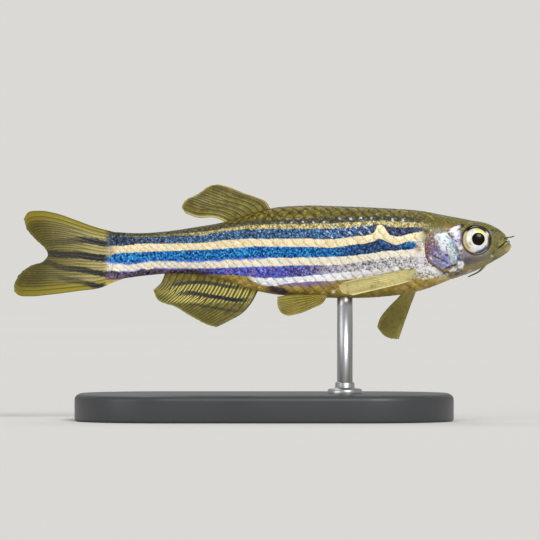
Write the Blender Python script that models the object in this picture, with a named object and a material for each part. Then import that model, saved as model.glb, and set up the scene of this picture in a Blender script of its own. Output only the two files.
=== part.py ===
"""A zebra danio as a still, life-size model, held over a plain display stand.

The fish faces +X with its left side towards +Y. The underside of the stand is Z = 0, and the
origin lies under the middle of the whole model. Sizes below are millimetres. The fish is
measured in its own frame: X runs forward from the tip of the lower jaw, so all of the body
has a negative X, and Z is the height over the body's axis.
"""

import math

import bmesh
import bpy
import numpy as np
from mathutils import Matrix, Vector

MM = 0.001
GAP = 0.3

# Outline of the body seen from the side and from above, from the tail's root to the jaw tip.
BACK = [(-35.85, 1.5), (-33.45, 1.4), (-30.3, 1.65), (-28.05, 2.0), (-26.25, 2.3), (-24.0, 2.95),
        (-21.75, 3.6), (-19.05, 3.85), (-15.45, 3.8), (-11.85, 3.65), (-8.25, 3.4), (-5.55, 2.95),
        (-3.75, 2.6), (-1.95, 2.2), (-1.05, 1.7), (-0.6, 1.3), (-0.35, 0.9), (-0.12, 0.5), (0.0, 0.1)]
BELLY = [(-35.85, -2.95), (-33.45, -2.6), (-30.3, -2.35), (-28.05, -2.45), (-26.25, -2.8),
         (-24.0, -3.6), (-21.75, -4.15), (-19.05, -4.4), (-15.45, -4.55), (-11.85, -4.45),
         (-8.25, -3.9), (-5.55, -2.95), (-2.85, -1.95), (-1.5, -1.2), (-0.6, -0.65),
         (-0.2, -0.3), (0.0, 0.1)]
HALF_WIDTH = [(-35.85, 0.5), (-33.45, 0.65), (-30.3, 0.9), (-27.0, 1.2), (-24.0, 1.55),
              (-20.0, 1.95), (-15.45, 2.2), (-11.0, 2.3), (-8.0, 2.28), (-5.5, 2.1), (-3.5, 1.8),
              (-2.0, 1.4), (-1.0, 0.98), (-0.5, 0.7), (-0.2, 0.42), (0.0, 0.0)]
WIDEST = 0.54
ROUNDNESS = 2.15
RING_SIDES = 32

# The tail's root leans, and the tail stem is parted from the trunk behind the anal fin.
TAIL_ROOT_TOP = -35.7
TAIL_ROOT_BOTTOM = -35.2
STEM_FRONT = -31.9

# Rear edge of the gill covers: X by the angle round the body, in degrees from the back.
GILL_EDGE = [(0, -6.7), (65, -7.55), (90, -7.9), (107, -7.65), (121, -6.9), (143, -5.95), (180, -5.3)]
GILL_SLIT = 0.42
GILL_FLARE = 0.05

EYE_AT = (-3.25, 0.7)
EYE_RADIUS = 1.3
EYE_DEPTH = 0.8
EYE_SUNK = 0.5
EYE_LEAN = math.radians(8)

MOUTH_FRONT = (-0.3, 0.72)
MOUTH_CORNER = (-1.3, -0.1)
MOUTH_SLIT = 0.24
LIP_RADIUS = 0.2
LIP_END = 0.5
NOSTRIL_AT = (-1.55, 1.6)
NOSTRIL_RADIUS = 0.24

BARBEL_ROOT_RADIUS = 0.25
BARBEL_TIP_RADIUS = 0.12

# Fins: a membrane with its rays as ridges on both faces.
MEMBRANE = 0.5
RAY = 0.7
RAY_FOOT = 0.32
FIN_TIP = 0.4
TAPER_FROM = 0.7
SCALLOP = 0.975

SWIM_HEIGHT = 15.5
BASE_LENGTH = 34.0
BASE_WIDTH = 20.0
BASE_HEIGHT = 2.4
BASE_CORNER = 8.0
BASE_BEVEL = 0.5
ROD_X = -15.0
ROD_RADIUS = 0.7

COLOURS = {
    "flesh": ((0.30, 0.27, 0.13), 0.35, 0.2),
    "head": ((0.42, 0.38, 0.32), 0.3, 0.3),
    "fin": ((0.33, 0.29, 0.09), 0.4, 0.0),
    "eye": ((0.75, 0.76, 0.72), 0.15, 0.4),
    "barbel": ((0.16, 0.13, 0.07), 0.5, 0.0),
    "stand": ((0.08, 0.08, 0.085), 0.45, 0.0),
}


def hermite(knots, values, at):
    """Value at one place of a smooth curve through the values, which sit at rising knots."""
    knots = np.asarray(knots, float)
    values = np.asarray(values, float)
    slopes = np.gradient(values, knots, axis=0)
    i = int(np.clip(np.searchsorted(knots, at) - 1, 0, len(knots) - 2))
    step = knots[i + 1] - knots[i]
    s = min(max((at - knots[i]) / step, 0.0), 1.0)
    start = (1 + 2 * s) * (1 - s) ** 2 * values[i] + s * (1 - s) ** 2 * step * slopes[i]
    end = s**2 * (3 - 2 * s) * values[i + 1] + s**2 * (s - 1) * step * slopes[i + 1]
    return start + end


def profile(points, x):
    """Height or width at x of an outline given as (x, value) points."""
    return float(hermite([p[0] for p in points], [p[1] for p in points], x))


def along(points):
    """A smooth path through 3-D points, as a function of the share of its length from 0 to 1."""
    points = np.asarray(points, float)
    steps = np.linalg.norm(np.diff(points, axis=0), axis=1)
    knots = np.concatenate([[0.0], np.cumsum(steps)]) / steps.sum()
    return lambda share: hermite(knots, points, share)


def skin_point(x, angle):
    """A point of the body's surface; the angle runs from the back down the right side."""
    top, bottom = profile(BACK, x), profile(BELLY, x)
    middle = bottom + WIDEST * (top - bottom)
    up, out = math.cos(angle), math.sin(angle)
    reach = top - middle if up > 0 else middle - bottom
    power = 2 / ROUNDNESS
    z = middle + reach * math.copysign(abs(up) ** power, up)
    y = -profile(HALF_WIDTH, x) * math.copysign(abs(out) ** power, out)
    return (x, y, z)


def flank(x, z):
    """Half the body's width at a height."""
    top, bottom = profile(BACK, x), profile(BELLY, x)
    middle = bottom + WIDEST * (top - bottom)
    share = (z - middle) / (top - middle) if z > middle else (middle - z) / (middle - bottom)
    return profile(HALF_WIDTH, x) * max(0.0, 1 - min(share, 1.0) ** ROUNDNESS) ** (1 / ROUNDNESS)


def gill_edge(angle):
    """X of the gill cover's rear edge, the same on both sides."""
    turn = math.degrees(angle) % 360
    return profile(GILL_EDGE, min(turn, 360 - turn))


def tail_root(angle):
    """X of the leaning rear face of the tail stem."""
    return TAIL_ROOT_TOP + (TAIL_ROOT_BOTTOM - TAIL_ROOT_TOP) * (1 - math.cos(angle)) / 2


def material(name):
    """The plain finish of one kind of sub-part."""
    made = bpy.data.materials.get(name)
    if made is None:
        made = bpy.data.materials.new(name)
        made.use_nodes = True
        colour, roughness, metallic = COLOURS[name]
        shader = made.node_tree.nodes["Principled BSDF"]
        shader.inputs["Base Color"].default_value = (*colour, 1)
        shader.inputs["Roughness"].default_value = roughness
        shader.inputs["Metallic"].default_value = metallic
    return made


def finished(name, shape, finish, parent=None, smooth=True):
    """The object made of a shape, in its own finish."""
    mesh = bpy.data.meshes.new(name)
    shape.to_mesh(mesh)
    shape.free()
    mesh.materials.append(material(finish))
    if smooth:
        mesh.shade_smooth()
    made = bpy.data.objects.new(name, mesh)
    made.parent = parent
    bpy.context.scene.collection.objects.link(made)
    return made


def closed_shape(points, faces):
    """One closed shape from millimetre points, with its faces turned outwards."""
    shape = bmesh.new()
    corners = [shape.verts.new(Vector(p) * MM) for p in points]
    for face in faces:
        shape.faces.new([corners[i] for i in face])
    bmesh.ops.recalc_face_normals(shape, faces=shape.faces)
    return shape


def fuse(target, tools, operation):
    """Joins the tools to the target, or cuts it with them, and removes the tools."""
    group = bpy.data.collections.new("tools")
    bpy.context.scene.collection.children.link(group)
    for tool in tools:
        group.objects.link(tool)
    step = target.modifiers.new("fuse", "BOOLEAN")
    step.operand_type = "COLLECTION"
    step.collection = group
    step.operation = operation
    step.solver = "EXACT"
    bpy.context.view_layer.update()
    result = target.evaluated_get(bpy.context.evaluated_depsgraph_get())
    mesh = bpy.data.meshes.new_from_object(result)
    target.modifiers.clear()
    target.data = mesh
    for tool in tools:
        bpy.data.objects.remove(tool)
    bpy.data.collections.remove(group)


def end_face(first):
    """Faces that close a ring straight across, from each point to the one opposite it."""
    half = RING_SIDES // 2
    faces = [(first, first + 1, first + RING_SIDES - 1)]
    for k in range(1, half - 1):
        left = first + RING_SIDES - k
        faces.append((first + k, first + k + 1, left - 1, left))
    faces.append((first + half - 1, first + half, first + half + 1))
    return faces


def body_length(name, rear, front, shares, finish, parent, nose=None, flare=0.0):
    """A length of the body between two edges, each an X by the angle round the body."""
    points, faces = [], []
    for share in shares:
        swell = 1 + flare * (1 - share) ** 6
        for k in range(RING_SIDES):
            angle = 2 * math.pi * k / RING_SIDES
            x, y, z = skin_point(rear(angle) + (front(angle) - rear(angle)) * share, angle)
            points.append((x, y * swell, z))
    for ring in range(len(shares) - 1):
        for k in range(RING_SIDES):
            here, after = ring * RING_SIDES + k, ring * RING_SIDES + (k + 1) % RING_SIDES
            faces.append((here, after, after + RING_SIDES, here + RING_SIDES))
    faces += end_face(0)
    last = (len(shares) - 1) * RING_SIDES
    if nose is None:
        faces += end_face(last)
    else:
        points.append(nose)
        for k in range(RING_SIDES):
            faces.append((last + k, last + (k + 1) % RING_SIDES, len(points) - 1))
    return finished(name, closed_shape(points, faces), finish, parent)


def tube(name, path, radius_at, finish, parent, sides, rings):
    """A round rod along a smooth path, its radius set by the share of its length, with domed ends."""
    centre = along(path)
    points, faces = [], []
    for ring in range(rings + 1):
        share = ring / rings
        here = Vector(centre(share))
        ahead = Vector(centre(min(share + 0.02, 1.0))) - Vector(centre(max(share - 0.02, 0.0)))
        across = ahead.cross(Vector((0, 0, 1))).normalized()
        up = across.cross(ahead).normalized()
        radius = radius_at(share)
        for k in range(sides):
            turn = 2 * math.pi * k / sides
            points.append(here + radius * (math.cos(turn) * across + math.sin(turn) * up))
    for ring in range(rings):
        for k in range(sides):
            here, after = ring * sides + k, ring * sides + (k + 1) % sides
            faces.append((here, after, after + sides, here + sides))
    for share, ring, way in ((0.0, 0, -1), (1.0, rings, 1)):
        run = Vector(centre(min(share + 0.02, 1.0))) - Vector(centre(max(share - 0.02, 0.0)))
        points.append(Vector(centre(share)) + way * 0.5 * radius_at(share) * run.normalized())
        for k in range(sides):
            faces.append((ring * sides + k, ring * sides + (k + 1) % sides, len(points) - 1))
    return finished(name, closed_shape(points, faces), finish, parent)


def ball(name, centre, radii, finish, parent, lean=0.0, segments=20, rings=12):
    """A squashed ball with its poles to the left and right."""
    shape = bmesh.new()
    bmesh.ops.create_uvsphere(shape, u_segments=segments, v_segments=rings, radius=MM)
    place = (
        Matrix.Translation(Vector(centre) * MM)
        @ Matrix.Rotation(lean, 4, "X")
        @ Matrix.Diagonal((*radii, 1.0))
        @ Matrix.Rotation(math.pi / 2, 4, "X")
    )
    bmesh.ops.transform(shape, matrix=place, verts=shape.verts)
    return finished(name, shape, finish, parent)


def eye_centre(side):
    """Middle of an eyeball, which is sunk into the side of the head."""
    x, z = EYE_AT
    return (x, side * (flank(x, z) - EYE_SUNK), z)


def eye(name, side, parent):
    """One eyeball, its top leaning in with the side of the head."""
    radii = (EYE_RADIUS, EYE_DEPTH, EYE_RADIUS)
    return ball(name, eye_centre(side), radii, "eye", parent, lean=side * EYE_LEAN, segments=24)


def mouth_z(x):
    """Height of the mouth line, which slopes down from the front to the corners."""
    (x0, z0), (x1, z1) = MOUTH_FRONT, MOUTH_CORNER
    return z0 + (z1 - z0) * (x - x0) / (x1 - x0)


def lip(side, parent):
    """A rounded rim along the mouth, over it for side 1 or under it for side -1."""
    (x0, z0), (x1, z1) = MOUTH_FRONT, MOUTH_CORNER
    run = Vector((x0 - x1, 0, z0 - z1)).normalized()
    away = Vector((-run.z, 0, run.x)) * side * (LIP_RADIUS + 0.3 * MOUTH_SLIT)
    path = []
    for step in range(-4, 5):
        turn = math.radians(90) * step / 4
        x = x1 + (x0 - x1) * math.cos(turn)
        z = mouth_z(x)
        y = math.copysign(max(flank(x + away.x, z + away.z) - 0.05, 0.0), step)
        path.append(Vector((x, y if step else 0.0, z)) + away)

    def radius_at(share):
        return LIP_RADIUS * (LIP_END + (1 - LIP_END) * math.sin(math.pi * share) ** 0.5)

    return tube("lip", path, radius_at, "head", parent, sides=8, rings=16)


def mouth_slit(parent):
    """The thin gap between the jaws, a flat slab through the front of the head."""
    (x0, z0), (x1, z1) = MOUTH_FRONT, MOUTH_CORNER
    run = Vector((x0 - x1, 0, z0 - z1))
    middle = Vector((x1, 0, z1)) + run
    half = Vector((run.length, 1.6, MOUTH_SLIT / 2))
    lean = Matrix.Rotation(-math.atan2(run.z, run.x), 3, "Y")
    corners = [(i, j, k) for i in (-1, 1) for j in (-1, 1) for k in (-1, 1)]
    points = [middle + lean @ Vector((i * half.x, j * half.y, k * half.z)) for i, j, k in corners]
    faces = [(0, 1, 3, 2), (4, 6, 7, 5), (0, 4, 5, 1), (2, 3, 7, 6), (0, 2, 6, 4), (1, 5, 7, 3)]
    return finished("slit", closed_shape(points, faces), "head", parent)


def head(parent):
    """Head with eye sockets, lips, the mouth line and a nostril on each side."""
    count = 20
    shares = [math.sin(math.pi / 2 * i / count) for i in range(count)]
    made = body_length("head", gill_edge, lambda angle: 0.0, shares, "head", parent,
                       nose=(0.0, 0.0, BACK[-1][1]), flare=GILL_FLARE)
    fuse(made, [lip(1, parent), lip(-1, parent)], "UNION")
    tools = [mouth_slit(parent)]
    socket = (EYE_RADIUS + GAP, EYE_DEPTH + GAP, EYE_RADIUS + GAP)
    x, z = NOSTRIL_AT
    for side in (-1, 1):
        tools.append(ball("socket", eye_centre(side), socket, "head", parent,
                          lean=side * EYE_LEAN, segments=24))
        pit = (x, side * flank(x, z), z)
        tools.append(ball("nostril", pit, (NOSTRIL_RADIUS,) * 3, "head", parent,
                          segments=10, rings=6))
    fuse(made, tools, "DIFFERENCE")
    return made


def trunk(parent):
    """The body from behind the gill covers to the rear end of the anal fin."""
    shares = [i / 22 for i in range(23)]
    return body_length("trunk", lambda angle: STEM_FRONT + GAP,
                       lambda angle: gill_edge(angle) - GILL_SLIT, shares, "flesh", parent)


def tail_stem(parent):
    """The narrow length that carries the tail fin."""
    shares = [i / 4 for i in range(5)]
    return body_length("tail_stem", tail_root, lambda angle: STEM_FRONT, shares, "flesh", parent)


def patch(root, lead, margin, trail):
    """A smooth sheet filling four edges, as a function of (share of the root, share outwards)."""
    base, tip = along(root), along([lead[-1], *margin])
    first, last = along([root[0], *lead]), along([root[-1], *trail, margin[-1]])
    corners = base(0), base(1), tip(0), tip(1)

    def point(u, v):
        edges = (1 - v) * base(u) + v * tip(u) + (1 - u) * first(v) + u * last(v)
        flat = (1 - v) * ((1 - u) * corners[0] + u * corners[1])
        return edges - flat - v * ((1 - u) * corners[2] + u * corners[3])

    return point


def thinning(v):
    """Share of the full thickness: constant over most of a fin, thin at its margin."""
    past = max(0.0, (v - TAPER_FROM) / (1 - TAPER_FROM))
    return 1 - (1 - FIN_TIP) * past * past * (3 - 2 * past)


def lie(sheet):
    """The mean way that a sheet faces, across which its thickness is laid."""
    total = Vector((0, 0, 0))
    for i in range(8):
        for j in range(8):
            u, v = (i + 0.5) / 8, (j + 0.5) / 8
            here = Vector(sheet(u, v))
            total += (Vector(sheet(u + 0.02, v)) - here).cross(Vector(sheet(u, v + 0.02)) - here)
    return total.normalized()


def fin(name, sheet, rays, rows, parent):
    """A closed fin whose rays are ridges, with the same triangles on both of its faces."""
    step = 1 / (rays - 1)
    facing = lie(sheet)
    columns = []
    for ray in range(rays):
        columns.append((ray * step, RAY / 2, 1.0))
        if ray < rays - 1:
            columns.append(((ray + RAY_FOOT) * step, MEMBRANE / 2, SCALLOP))
            columns.append(((ray + 1 - RAY_FOOT) * step, MEMBRANE / 2, SCALLOP))
    near, far = [], []
    for u, half, reach in columns:
        for row in range(rows + 1):
            v = reach * row / rows
            here = Vector(sheet(u, v))
            near.append(here + facing * half * thinning(v))
            far.append(here - facing * half * thinning(v))
    deep, shift, faces = rows + 1, len(near), []
    for column in range(len(columns) - 1):
        for row in range(rows):
            a = column * deep + row
            b, c, d = a + 1, a + deep + 1, a + deep
            faces += [(a, b, c), (a, c, d), (shift + a, shift + c, shift + b)]
            faces.append((shift + a, shift + d, shift + c))
    rim = [column * deep for column in range(len(columns))]
    rim += [rim[-1] + row for row in range(1, deep)]
    rim += [column * deep + rows for column in range(len(columns) - 2, -1, -1)]
    rim += list(range(rows - 1, 0, -1))
    for here, after in zip(rim, rim[1:] + rim[:1]):
        faces += [(here, after, shift + after), (here, shift + after, shift + here)]
    return finished(name, closed_shape(near + far, faces), "fin", parent)


def upright(points):
    """Side-view points set on the middle plane."""
    return [(x, 0.0, z) for x, z in points]


def along_outline(outline, start, end, off, steps=6):
    """Points beside an outline of the body, the gap's width off it."""
    places = [start + (end - start) * i / steps for i in range(steps + 1)]
    return [(x, profile(outline, x) + off) for x in places]


def tail_fin(parent):
    """The forked tail fin on the rear face of the tail stem."""
    top, bottom = profile(BACK, TAIL_ROOT_TOP) - 0.05, profile(BELLY, TAIL_ROOT_BOTTOM) + 0.05
    root = [(TAIL_ROOT_TOP - GAP, top), (TAIL_ROOT_BOTTOM - GAP, bottom)]
    lead = [(-37.5, 1.9), (-39.3, 2.55), (-41.1, 3.15), (-42.6, 3.35), (-43.5, 3.2), (-43.9, 2.6)]
    margin = [(-43.7, 1.8), (-42.8, 0.7), (-41.95, -0.15), (-41.75, -0.55), (-42.05, -1.1),
              (-43.35, -1.6), (-44.4, -2.45), (-44.8, -3.3), (-44.8, -3.85)]
    trail = [(-37.05, -3.6), (-38.85, -3.85), (-41.55, -4.2), (-43.35, -4.35), (-44.35, -4.25)]
    sheet = patch(upright(root), upright(lead), upright(margin), upright(trail))
    return fin("tail_fin", sheet, 19, 9, parent)


def dorsal_fin(parent):
    """The back fin, folded low towards the tail."""
    root = along_outline(BACK, -21.75, -25.5, GAP)
    lead = [(-22.1, 4.15), (-22.95, 4.55), (-24.15, 4.95), (-25.35, 5.45), (-26.5, 5.75)]
    margin = [(-27.15, 5.6), (-28.2, 4.9), (-29.45, 4.2), (-29.7, 3.8), (-29.4, 3.15)]
    trail = [(-26.7, 2.72), (-28.3, 2.75)]
    sheet = patch(upright(root), upright(lead), upright(margin), upright(trail))
    return fin("dorsal_fin", sheet, 9, 7, parent)


def anal_fin(parent):
    """The long fin under the rear of the body."""
    root = along_outline(BELLY, -22.8, -31.1, -GAP)
    lead = [(-23.55, -5.15), (-24.15, -5.8), (-25.5, -6.6), (-26.6, -7.15)]
    margin = [(-27.3, -6.95), (-28.95, -6.1), (-30.3, -5.3), (-31.9, -4.6), (-32.25, -3.8)]
    trail = [(-31.6, -3.2)]
    sheet = patch(upright(root), upright(lead), upright(margin), upright(trail))
    return fin("anal_fin", sheet, 14, 7, parent)


def pelvic_fin(name, side, parent):
    """A small fin under the belly, leaning outwards."""
    def place(x, out, z):
        return (x, side * out, z)

    root = [place(-16.6, 0.75, -4.9), place(-17.1, 0.85, -4.78), place(-17.6, 0.95, -4.62)]
    lead = [place(-17.25, 0.95, -5.12), place(-17.95, 1.2, -5.42), place(-18.75, 1.45, -5.77),
            place(-20.1, 1.8, -6.1)]
    margin = [place(-20.7, 1.85, -5.85), place(-21.0, 1.85, -5.4), place(-21.1, 1.75, -4.85),
              place(-21.1, 1.65, -4.4)]
    trail = [place(-18.4, 1.1, -4.56), place(-19.6, 1.35, -4.48)]
    return fin(name, patch(root, lead, margin, trail), 8, 5, parent)


def pectoral_root(side):
    """The slanting line on the flank that a breast fin grows from."""
    points = []
    for x, z in ((-8.15, -1.9), (-8.6, -2.4), (-9.0, -2.92)):
        points.append((x, side * (flank(x, z) + GAP + RAY / 2), z))
    return points


def folded_pectoral(name, side, parent):
    """The breast fin laid back along the flank."""
    start = flank(-8.6, -2.4) + GAP + RAY / 2

    def place(x, out, z):
        return (x, side * (start + out), z)

    lead = [place(-9.6, 0.2, -1.95), place(-11.4, 0.45, -2.3), place(-13.45, 0.65, -2.65),
            place(-15.0, 0.8, -3.0)]
    margin = [place(-15.6, 0.8, -3.4), place(-15.4, 0.75, -3.95), place(-14.35, 0.6, -4.25)]
    trail = [place(-9.95, 0.05, -3.2), place(-10.95, 0.2, -3.45), place(-12.75, 0.4, -3.87)]
    return fin(name, patch(pectoral_root(side), lead, margin, trail), 12, 6, parent)


def lowered_pectoral(name, side, parent):
    """The breast fin held down and out from the body."""
    start = flank(-8.6, -2.4) + GAP + RAY / 2

    def place(x, out, z):
        return (x, side * (start + out), z)

    lead = [place(-8.5, 1.0, -3.8), place(-9.1, 1.8, -5.5), place(-9.6, 2.4, -6.95),
            place(-10.05, 2.8, -8.3)]
    margin = [place(-10.75, 2.75, -8.2), place(-11.45, 2.6, -7.9), place(-12.0, 2.3, -7.2)]
    trail = [place(-10.1, 0.75, -4.5), place(-11.05, 1.4, -5.5), place(-11.75, 1.95, -6.45)]
    return fin(name, patch(pectoral_root(side), lead, margin, trail), 12, 6, parent)


def barbels(parent):
    """A short pair of feelers on the snout and a longer pair from the mouth's corners."""
    def radius_at(share):
        return BARBEL_ROOT_RADIUS + (BARBEL_TIP_RADIUS - BARBEL_ROOT_RADIUS) * share

    for side, hand in ((-1, "right"), (1, "left")):
        x, z = -0.62, 1.0
        out = flank(x, z) + GAP + BARBEL_ROOT_RADIUS
        snout = [(x, side * out, z), (x + 0.4, side * (out + 0.02), z - 0.02),
                 (x + 0.85, side * (out - 0.05), z + 0.1)]
        tube("barbel_rostral_" + hand, snout, radius_at, "barbel", parent, sides=8, rings=4)
        x, z = MOUTH_CORNER[0] - 0.15, MOUTH_CORNER[1] - 0.35
        out = flank(x, z) + GAP + BARBEL_ROOT_RADIUS
        jaw = [(x, side * out, z), (-2.2, side * 1.5, -1.3), (-2.85, side * 1.35, -2.05),
               (-3.9, side * 1.25, -2.6)]
        tube("barbel_maxillary_" + hand, jaw, radius_at, "barbel", parent, sides=8, rings=8)


def stand_base():
    """A flat plate with round corners and eased edges."""
    shape = bmesh.new()
    bmesh.ops.create_cube(shape, size=1.0)
    size = (BASE_LENGTH * MM, BASE_WIDTH * MM, BASE_HEIGHT * MM, 1.0)
    bmesh.ops.transform(shape, matrix=Matrix.Diagonal(size), verts=shape.verts)
    corners = [e for e in shape.edges if abs(e.verts[0].co.z - e.verts[1].co.z) > MM]
    bmesh.ops.bevel(shape, geom=corners, offset=BASE_CORNER * MM, segments=9, affect="EDGES",
                    profile=0.5)
    top = [e for e in shape.edges if min(v.co.z for v in e.verts) > 0]
    bmesh.ops.bevel(shape, geom=top, offset=BASE_BEVEL * MM, segments=2, affect="EDGES",
                    profile=0.5)
    made = finished("stand_base", shape, "stand", smooth=False)
    made.location = (0, 0, BASE_HEIGHT / 2 * MM)


def stand_rod(fish):
    """The upright rod between the base and the belly."""
    low = BASE_HEIGHT + GAP
    high = SWIM_HEIGHT + profile(BELLY, ROD_X) - GAP
    shape = bmesh.new()
    bmesh.ops.create_cone(shape, cap_ends=True, segments=20, radius1=ROD_RADIUS * MM,
                          radius2=ROD_RADIUS * MM, depth=(high - low) * MM)
    made = finished("stand_rod", shape, "stand", smooth=False)
    made.location = (fish.location.x + ROD_X * MM, 0, (low + high) / 2 * MM)


def middle_of(parts):
    """Middle of the parts along X."""
    reach = [corner[0] for part in parts for corner in part.bound_box]
    return (min(reach) + max(reach)) / 2


def main():
    for old in list(bpy.data.objects):
        bpy.data.objects.remove(old)
    fish = bpy.data.objects.new("fish", None)
    bpy.context.scene.collection.objects.link(fish)
    head(fish)
    trunk(fish)
    tail_stem(fish)
    tail_fin(fish)
    dorsal_fin(fish)
    anal_fin(fish)
    pelvic_fin("pelvic_fin_right", -1, fish)
    pelvic_fin("pelvic_fin_left", 1, fish)
    folded_pectoral("pectoral_fin_right", -1, fish)
    lowered_pectoral("pectoral_fin_left", 1, fish)
    eye("eye_right", -1, fish)
    eye("eye_left", 1, fish)
    barbels(fish)
    bpy.context.view_layer.update()
    fish.location = (-middle_of(fish.children), 0, SWIM_HEIGHT * MM)
    stand_base()
    stand_rod(fish)


main()
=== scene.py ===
"""A life-size zebra danio model on its display stand: skin, scales, fins, eyes, feelers and stand.

The fish is laid out in its own frame, in millimetres: X runs forward from the tip of the lower jaw,
so the body has negative X, Y is the fish's left and Z is the height over the body's axis.
"""

import math

import bmesh
import bpy
import numpy as np
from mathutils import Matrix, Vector


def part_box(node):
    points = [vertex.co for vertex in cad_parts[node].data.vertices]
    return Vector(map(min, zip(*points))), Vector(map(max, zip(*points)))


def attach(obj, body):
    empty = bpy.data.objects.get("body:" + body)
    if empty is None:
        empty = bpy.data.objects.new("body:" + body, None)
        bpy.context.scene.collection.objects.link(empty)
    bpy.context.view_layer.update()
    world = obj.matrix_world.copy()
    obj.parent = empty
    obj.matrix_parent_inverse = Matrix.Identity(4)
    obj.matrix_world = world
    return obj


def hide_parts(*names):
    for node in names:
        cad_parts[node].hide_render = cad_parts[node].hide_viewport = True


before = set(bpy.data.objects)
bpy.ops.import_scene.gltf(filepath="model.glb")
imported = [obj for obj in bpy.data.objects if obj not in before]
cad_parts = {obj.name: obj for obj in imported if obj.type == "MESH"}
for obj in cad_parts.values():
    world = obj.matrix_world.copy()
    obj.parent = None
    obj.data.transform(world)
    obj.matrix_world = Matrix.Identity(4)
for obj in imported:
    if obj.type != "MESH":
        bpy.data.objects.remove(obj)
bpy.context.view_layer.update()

MM = 0.001

# Outline of the body from the side and from above, from the tail's root to the jaw tip.
BACK = [(-35.85, 1.5), (-33.45, 1.4), (-30.3, 1.65), (-28.05, 2.0), (-26.25, 2.3), (-24.0, 2.95),
        (-21.75, 3.6), (-19.05, 3.85), (-15.45, 3.8), (-11.85, 3.65), (-8.25, 3.4), (-5.55, 2.95),
        (-3.75, 2.6), (-1.95, 2.2), (-1.05, 1.7), (-0.6, 1.3), (-0.35, 0.9), (-0.12, 0.5), (0.0, 0.1)]
BELLY = [(-35.85, -2.95), (-33.45, -2.6), (-30.3, -2.35), (-28.05, -2.45), (-26.25, -2.8),
         (-24.0, -3.6), (-21.75, -4.15), (-19.05, -4.4), (-15.45, -4.55), (-11.85, -4.45),
         (-8.25, -3.9), (-5.55, -2.95), (-2.85, -1.95), (-1.5, -1.2), (-0.6, -0.65),
         (-0.2, -0.3), (0.0, 0.1)]
HALF_WIDTH = [(-35.85, 0.5), (-33.45, 0.65), (-30.3, 0.9), (-27.0, 1.2), (-24.0, 1.55),
              (-20.0, 1.95), (-15.45, 2.2), (-11.0, 2.3), (-8.0, 2.28), (-5.5, 2.1), (-3.5, 1.8),
              (-2.0, 1.4), (-1.0, 0.98), (-0.5, 0.7), (-0.2, 0.42), (0.0, 0.0)]
# Share of the depth where the body is widest, roundness of its section, its full depth, the x of its
# middle, and the distances from the jaw between which it narrows to the tail fin.
WIDEST = 0.54
ROUNDNESS = 2.15
FULL_DEPTH = 8.3
MID_TRUNK = -15.0
TAIL_WEDGE = (34.2, 36.2)
GILL_EDGE = [(0, -6.7), (65, -7.55), (90, -7.9), (107, -7.65), (121, -6.9), (143, -5.95), (180, -5.3)]
TAIL_ROOT = (-35.7, -35.2)

# Eyes and mouth, in side view.
EYE_AT = (-3.25, 0.7)
EYE_RADIUS = 1.3
EYE_DEPTH = 0.8
EYE_SUNK = 0.5
EYE_LEAN = math.radians(8)
PUPIL_AT = 0.15
PUPIL = 0.445
MOUTH_FRONT = (-0.3, 0.72)
MOUTH_CORNER = (-1.3, -0.1)

# Skin and scales; a scale's length counts in spacings and its half width in rows.
COAT = 0.09
RINGS_BODY = 230
RINGS_HEAD = 330
AROUND = 156
HEAD_FROM = -8.7
NOSE_END = -0.043
SKIN_END = -36.2
SCALE_ROWS = 36
SCALE_SPACING = 0.95
SCALE_LENGTH = 1.95
SCALE_WIDTH = 1.07
SCALE_CURVE = 0.48
SCALE_THICK = 0.012
SCALE_LIFT = 0.05
SCALE_CROWN = 0.012
SCALE_SUNK = 0.006
SCALES_FROM = -5.6
SCALES_END = -36.1
LAST_GAP = 0.55
UNDER_COVER = 0.6
SCALE_GRID = (8, 8)
SCALE_PATCH = 0.012

# Camera: level with the fish, looking at its right side.
CAMERA_DISTANCE = 0.5
CAMERA_AIM = (-21.735, -1.98)
CAMERA_FIELD = 48.6


def middle(node):
    """Middle of a solid's box, in metres."""
    low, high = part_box(node)
    return (low + high) / 2


ORIGIN = np.array([middle("eye_right").x - EYE_AT[0] * MM, 0.0, middle("eye_right").z - EYE_AT[1] * MM])


# Curves and surfaces

def hermite(knots, values, at):
    """Values of a smooth curve at one or many places; its knots rise."""
    knots, values, at = (np.asarray(part, float) for part in (knots, values, at))
    slopes = np.gradient(values, knots, axis=0)
    i = np.clip(np.searchsorted(knots, at) - 1, 0, len(knots) - 2)
    step = knots[i + 1] - knots[i]
    s = np.clip((at - knots[i]) / step, 0.0, 1.0)
    if values.ndim > 1:
        step, s = step[..., None], s[..., None]
    start = (1 + 2 * s) * (1 - s) ** 2 * values[i] + s * (1 - s) ** 2 * step * slopes[i]
    end = s**2 * (3 - 2 * s) * values[i + 1] + s**2 * (s - 1) * step * slopes[i + 1]
    return start + end


def profile(points, x):
    """Height or width at x of an outline given as (x, value) points."""
    return hermite([p[0] for p in points], [p[1] for p in points], x)


def along(points):
    """A smooth path through 3-D points, as a function of the share of its length from 0 to 1."""
    points = np.asarray(points, float)
    steps = np.linalg.norm(np.diff(points, axis=0), axis=1)
    knots = np.concatenate([[0.0], np.cumsum(steps)]) / steps.sum()
    return lambda share: hermite(knots, points, share)


def ease(value, low, high):
    """0 at low and 1 at high, with soft ends."""
    t = np.clip((np.asarray(value, float) - low) / (high - low), 0.0, 1.0)
    return t * t * (3 - 2 * t)


def ridge(distance, width):
    """A soft ridge, 1 where the distance is 0."""
    return np.exp(-((distance / width) ** 2))


def off_line(x, z, points):
    """Distance in side view from a line through (x, z) points."""
    best = np.full(np.shape(x), 1e9)
    for (x0, z0), (x1, z1) in zip(points, points[1:]):
        run = np.array([x1 - x0, z1 - z0])
        t = np.clip(((x - x0) * run[0] + (z - z0) * run[1]) / (run @ run), 0.0, 1.0)
        best = np.minimum(best, np.hypot(x - x0 - t * run[0], z - z0 - t * run[1]))
    return best


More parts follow.
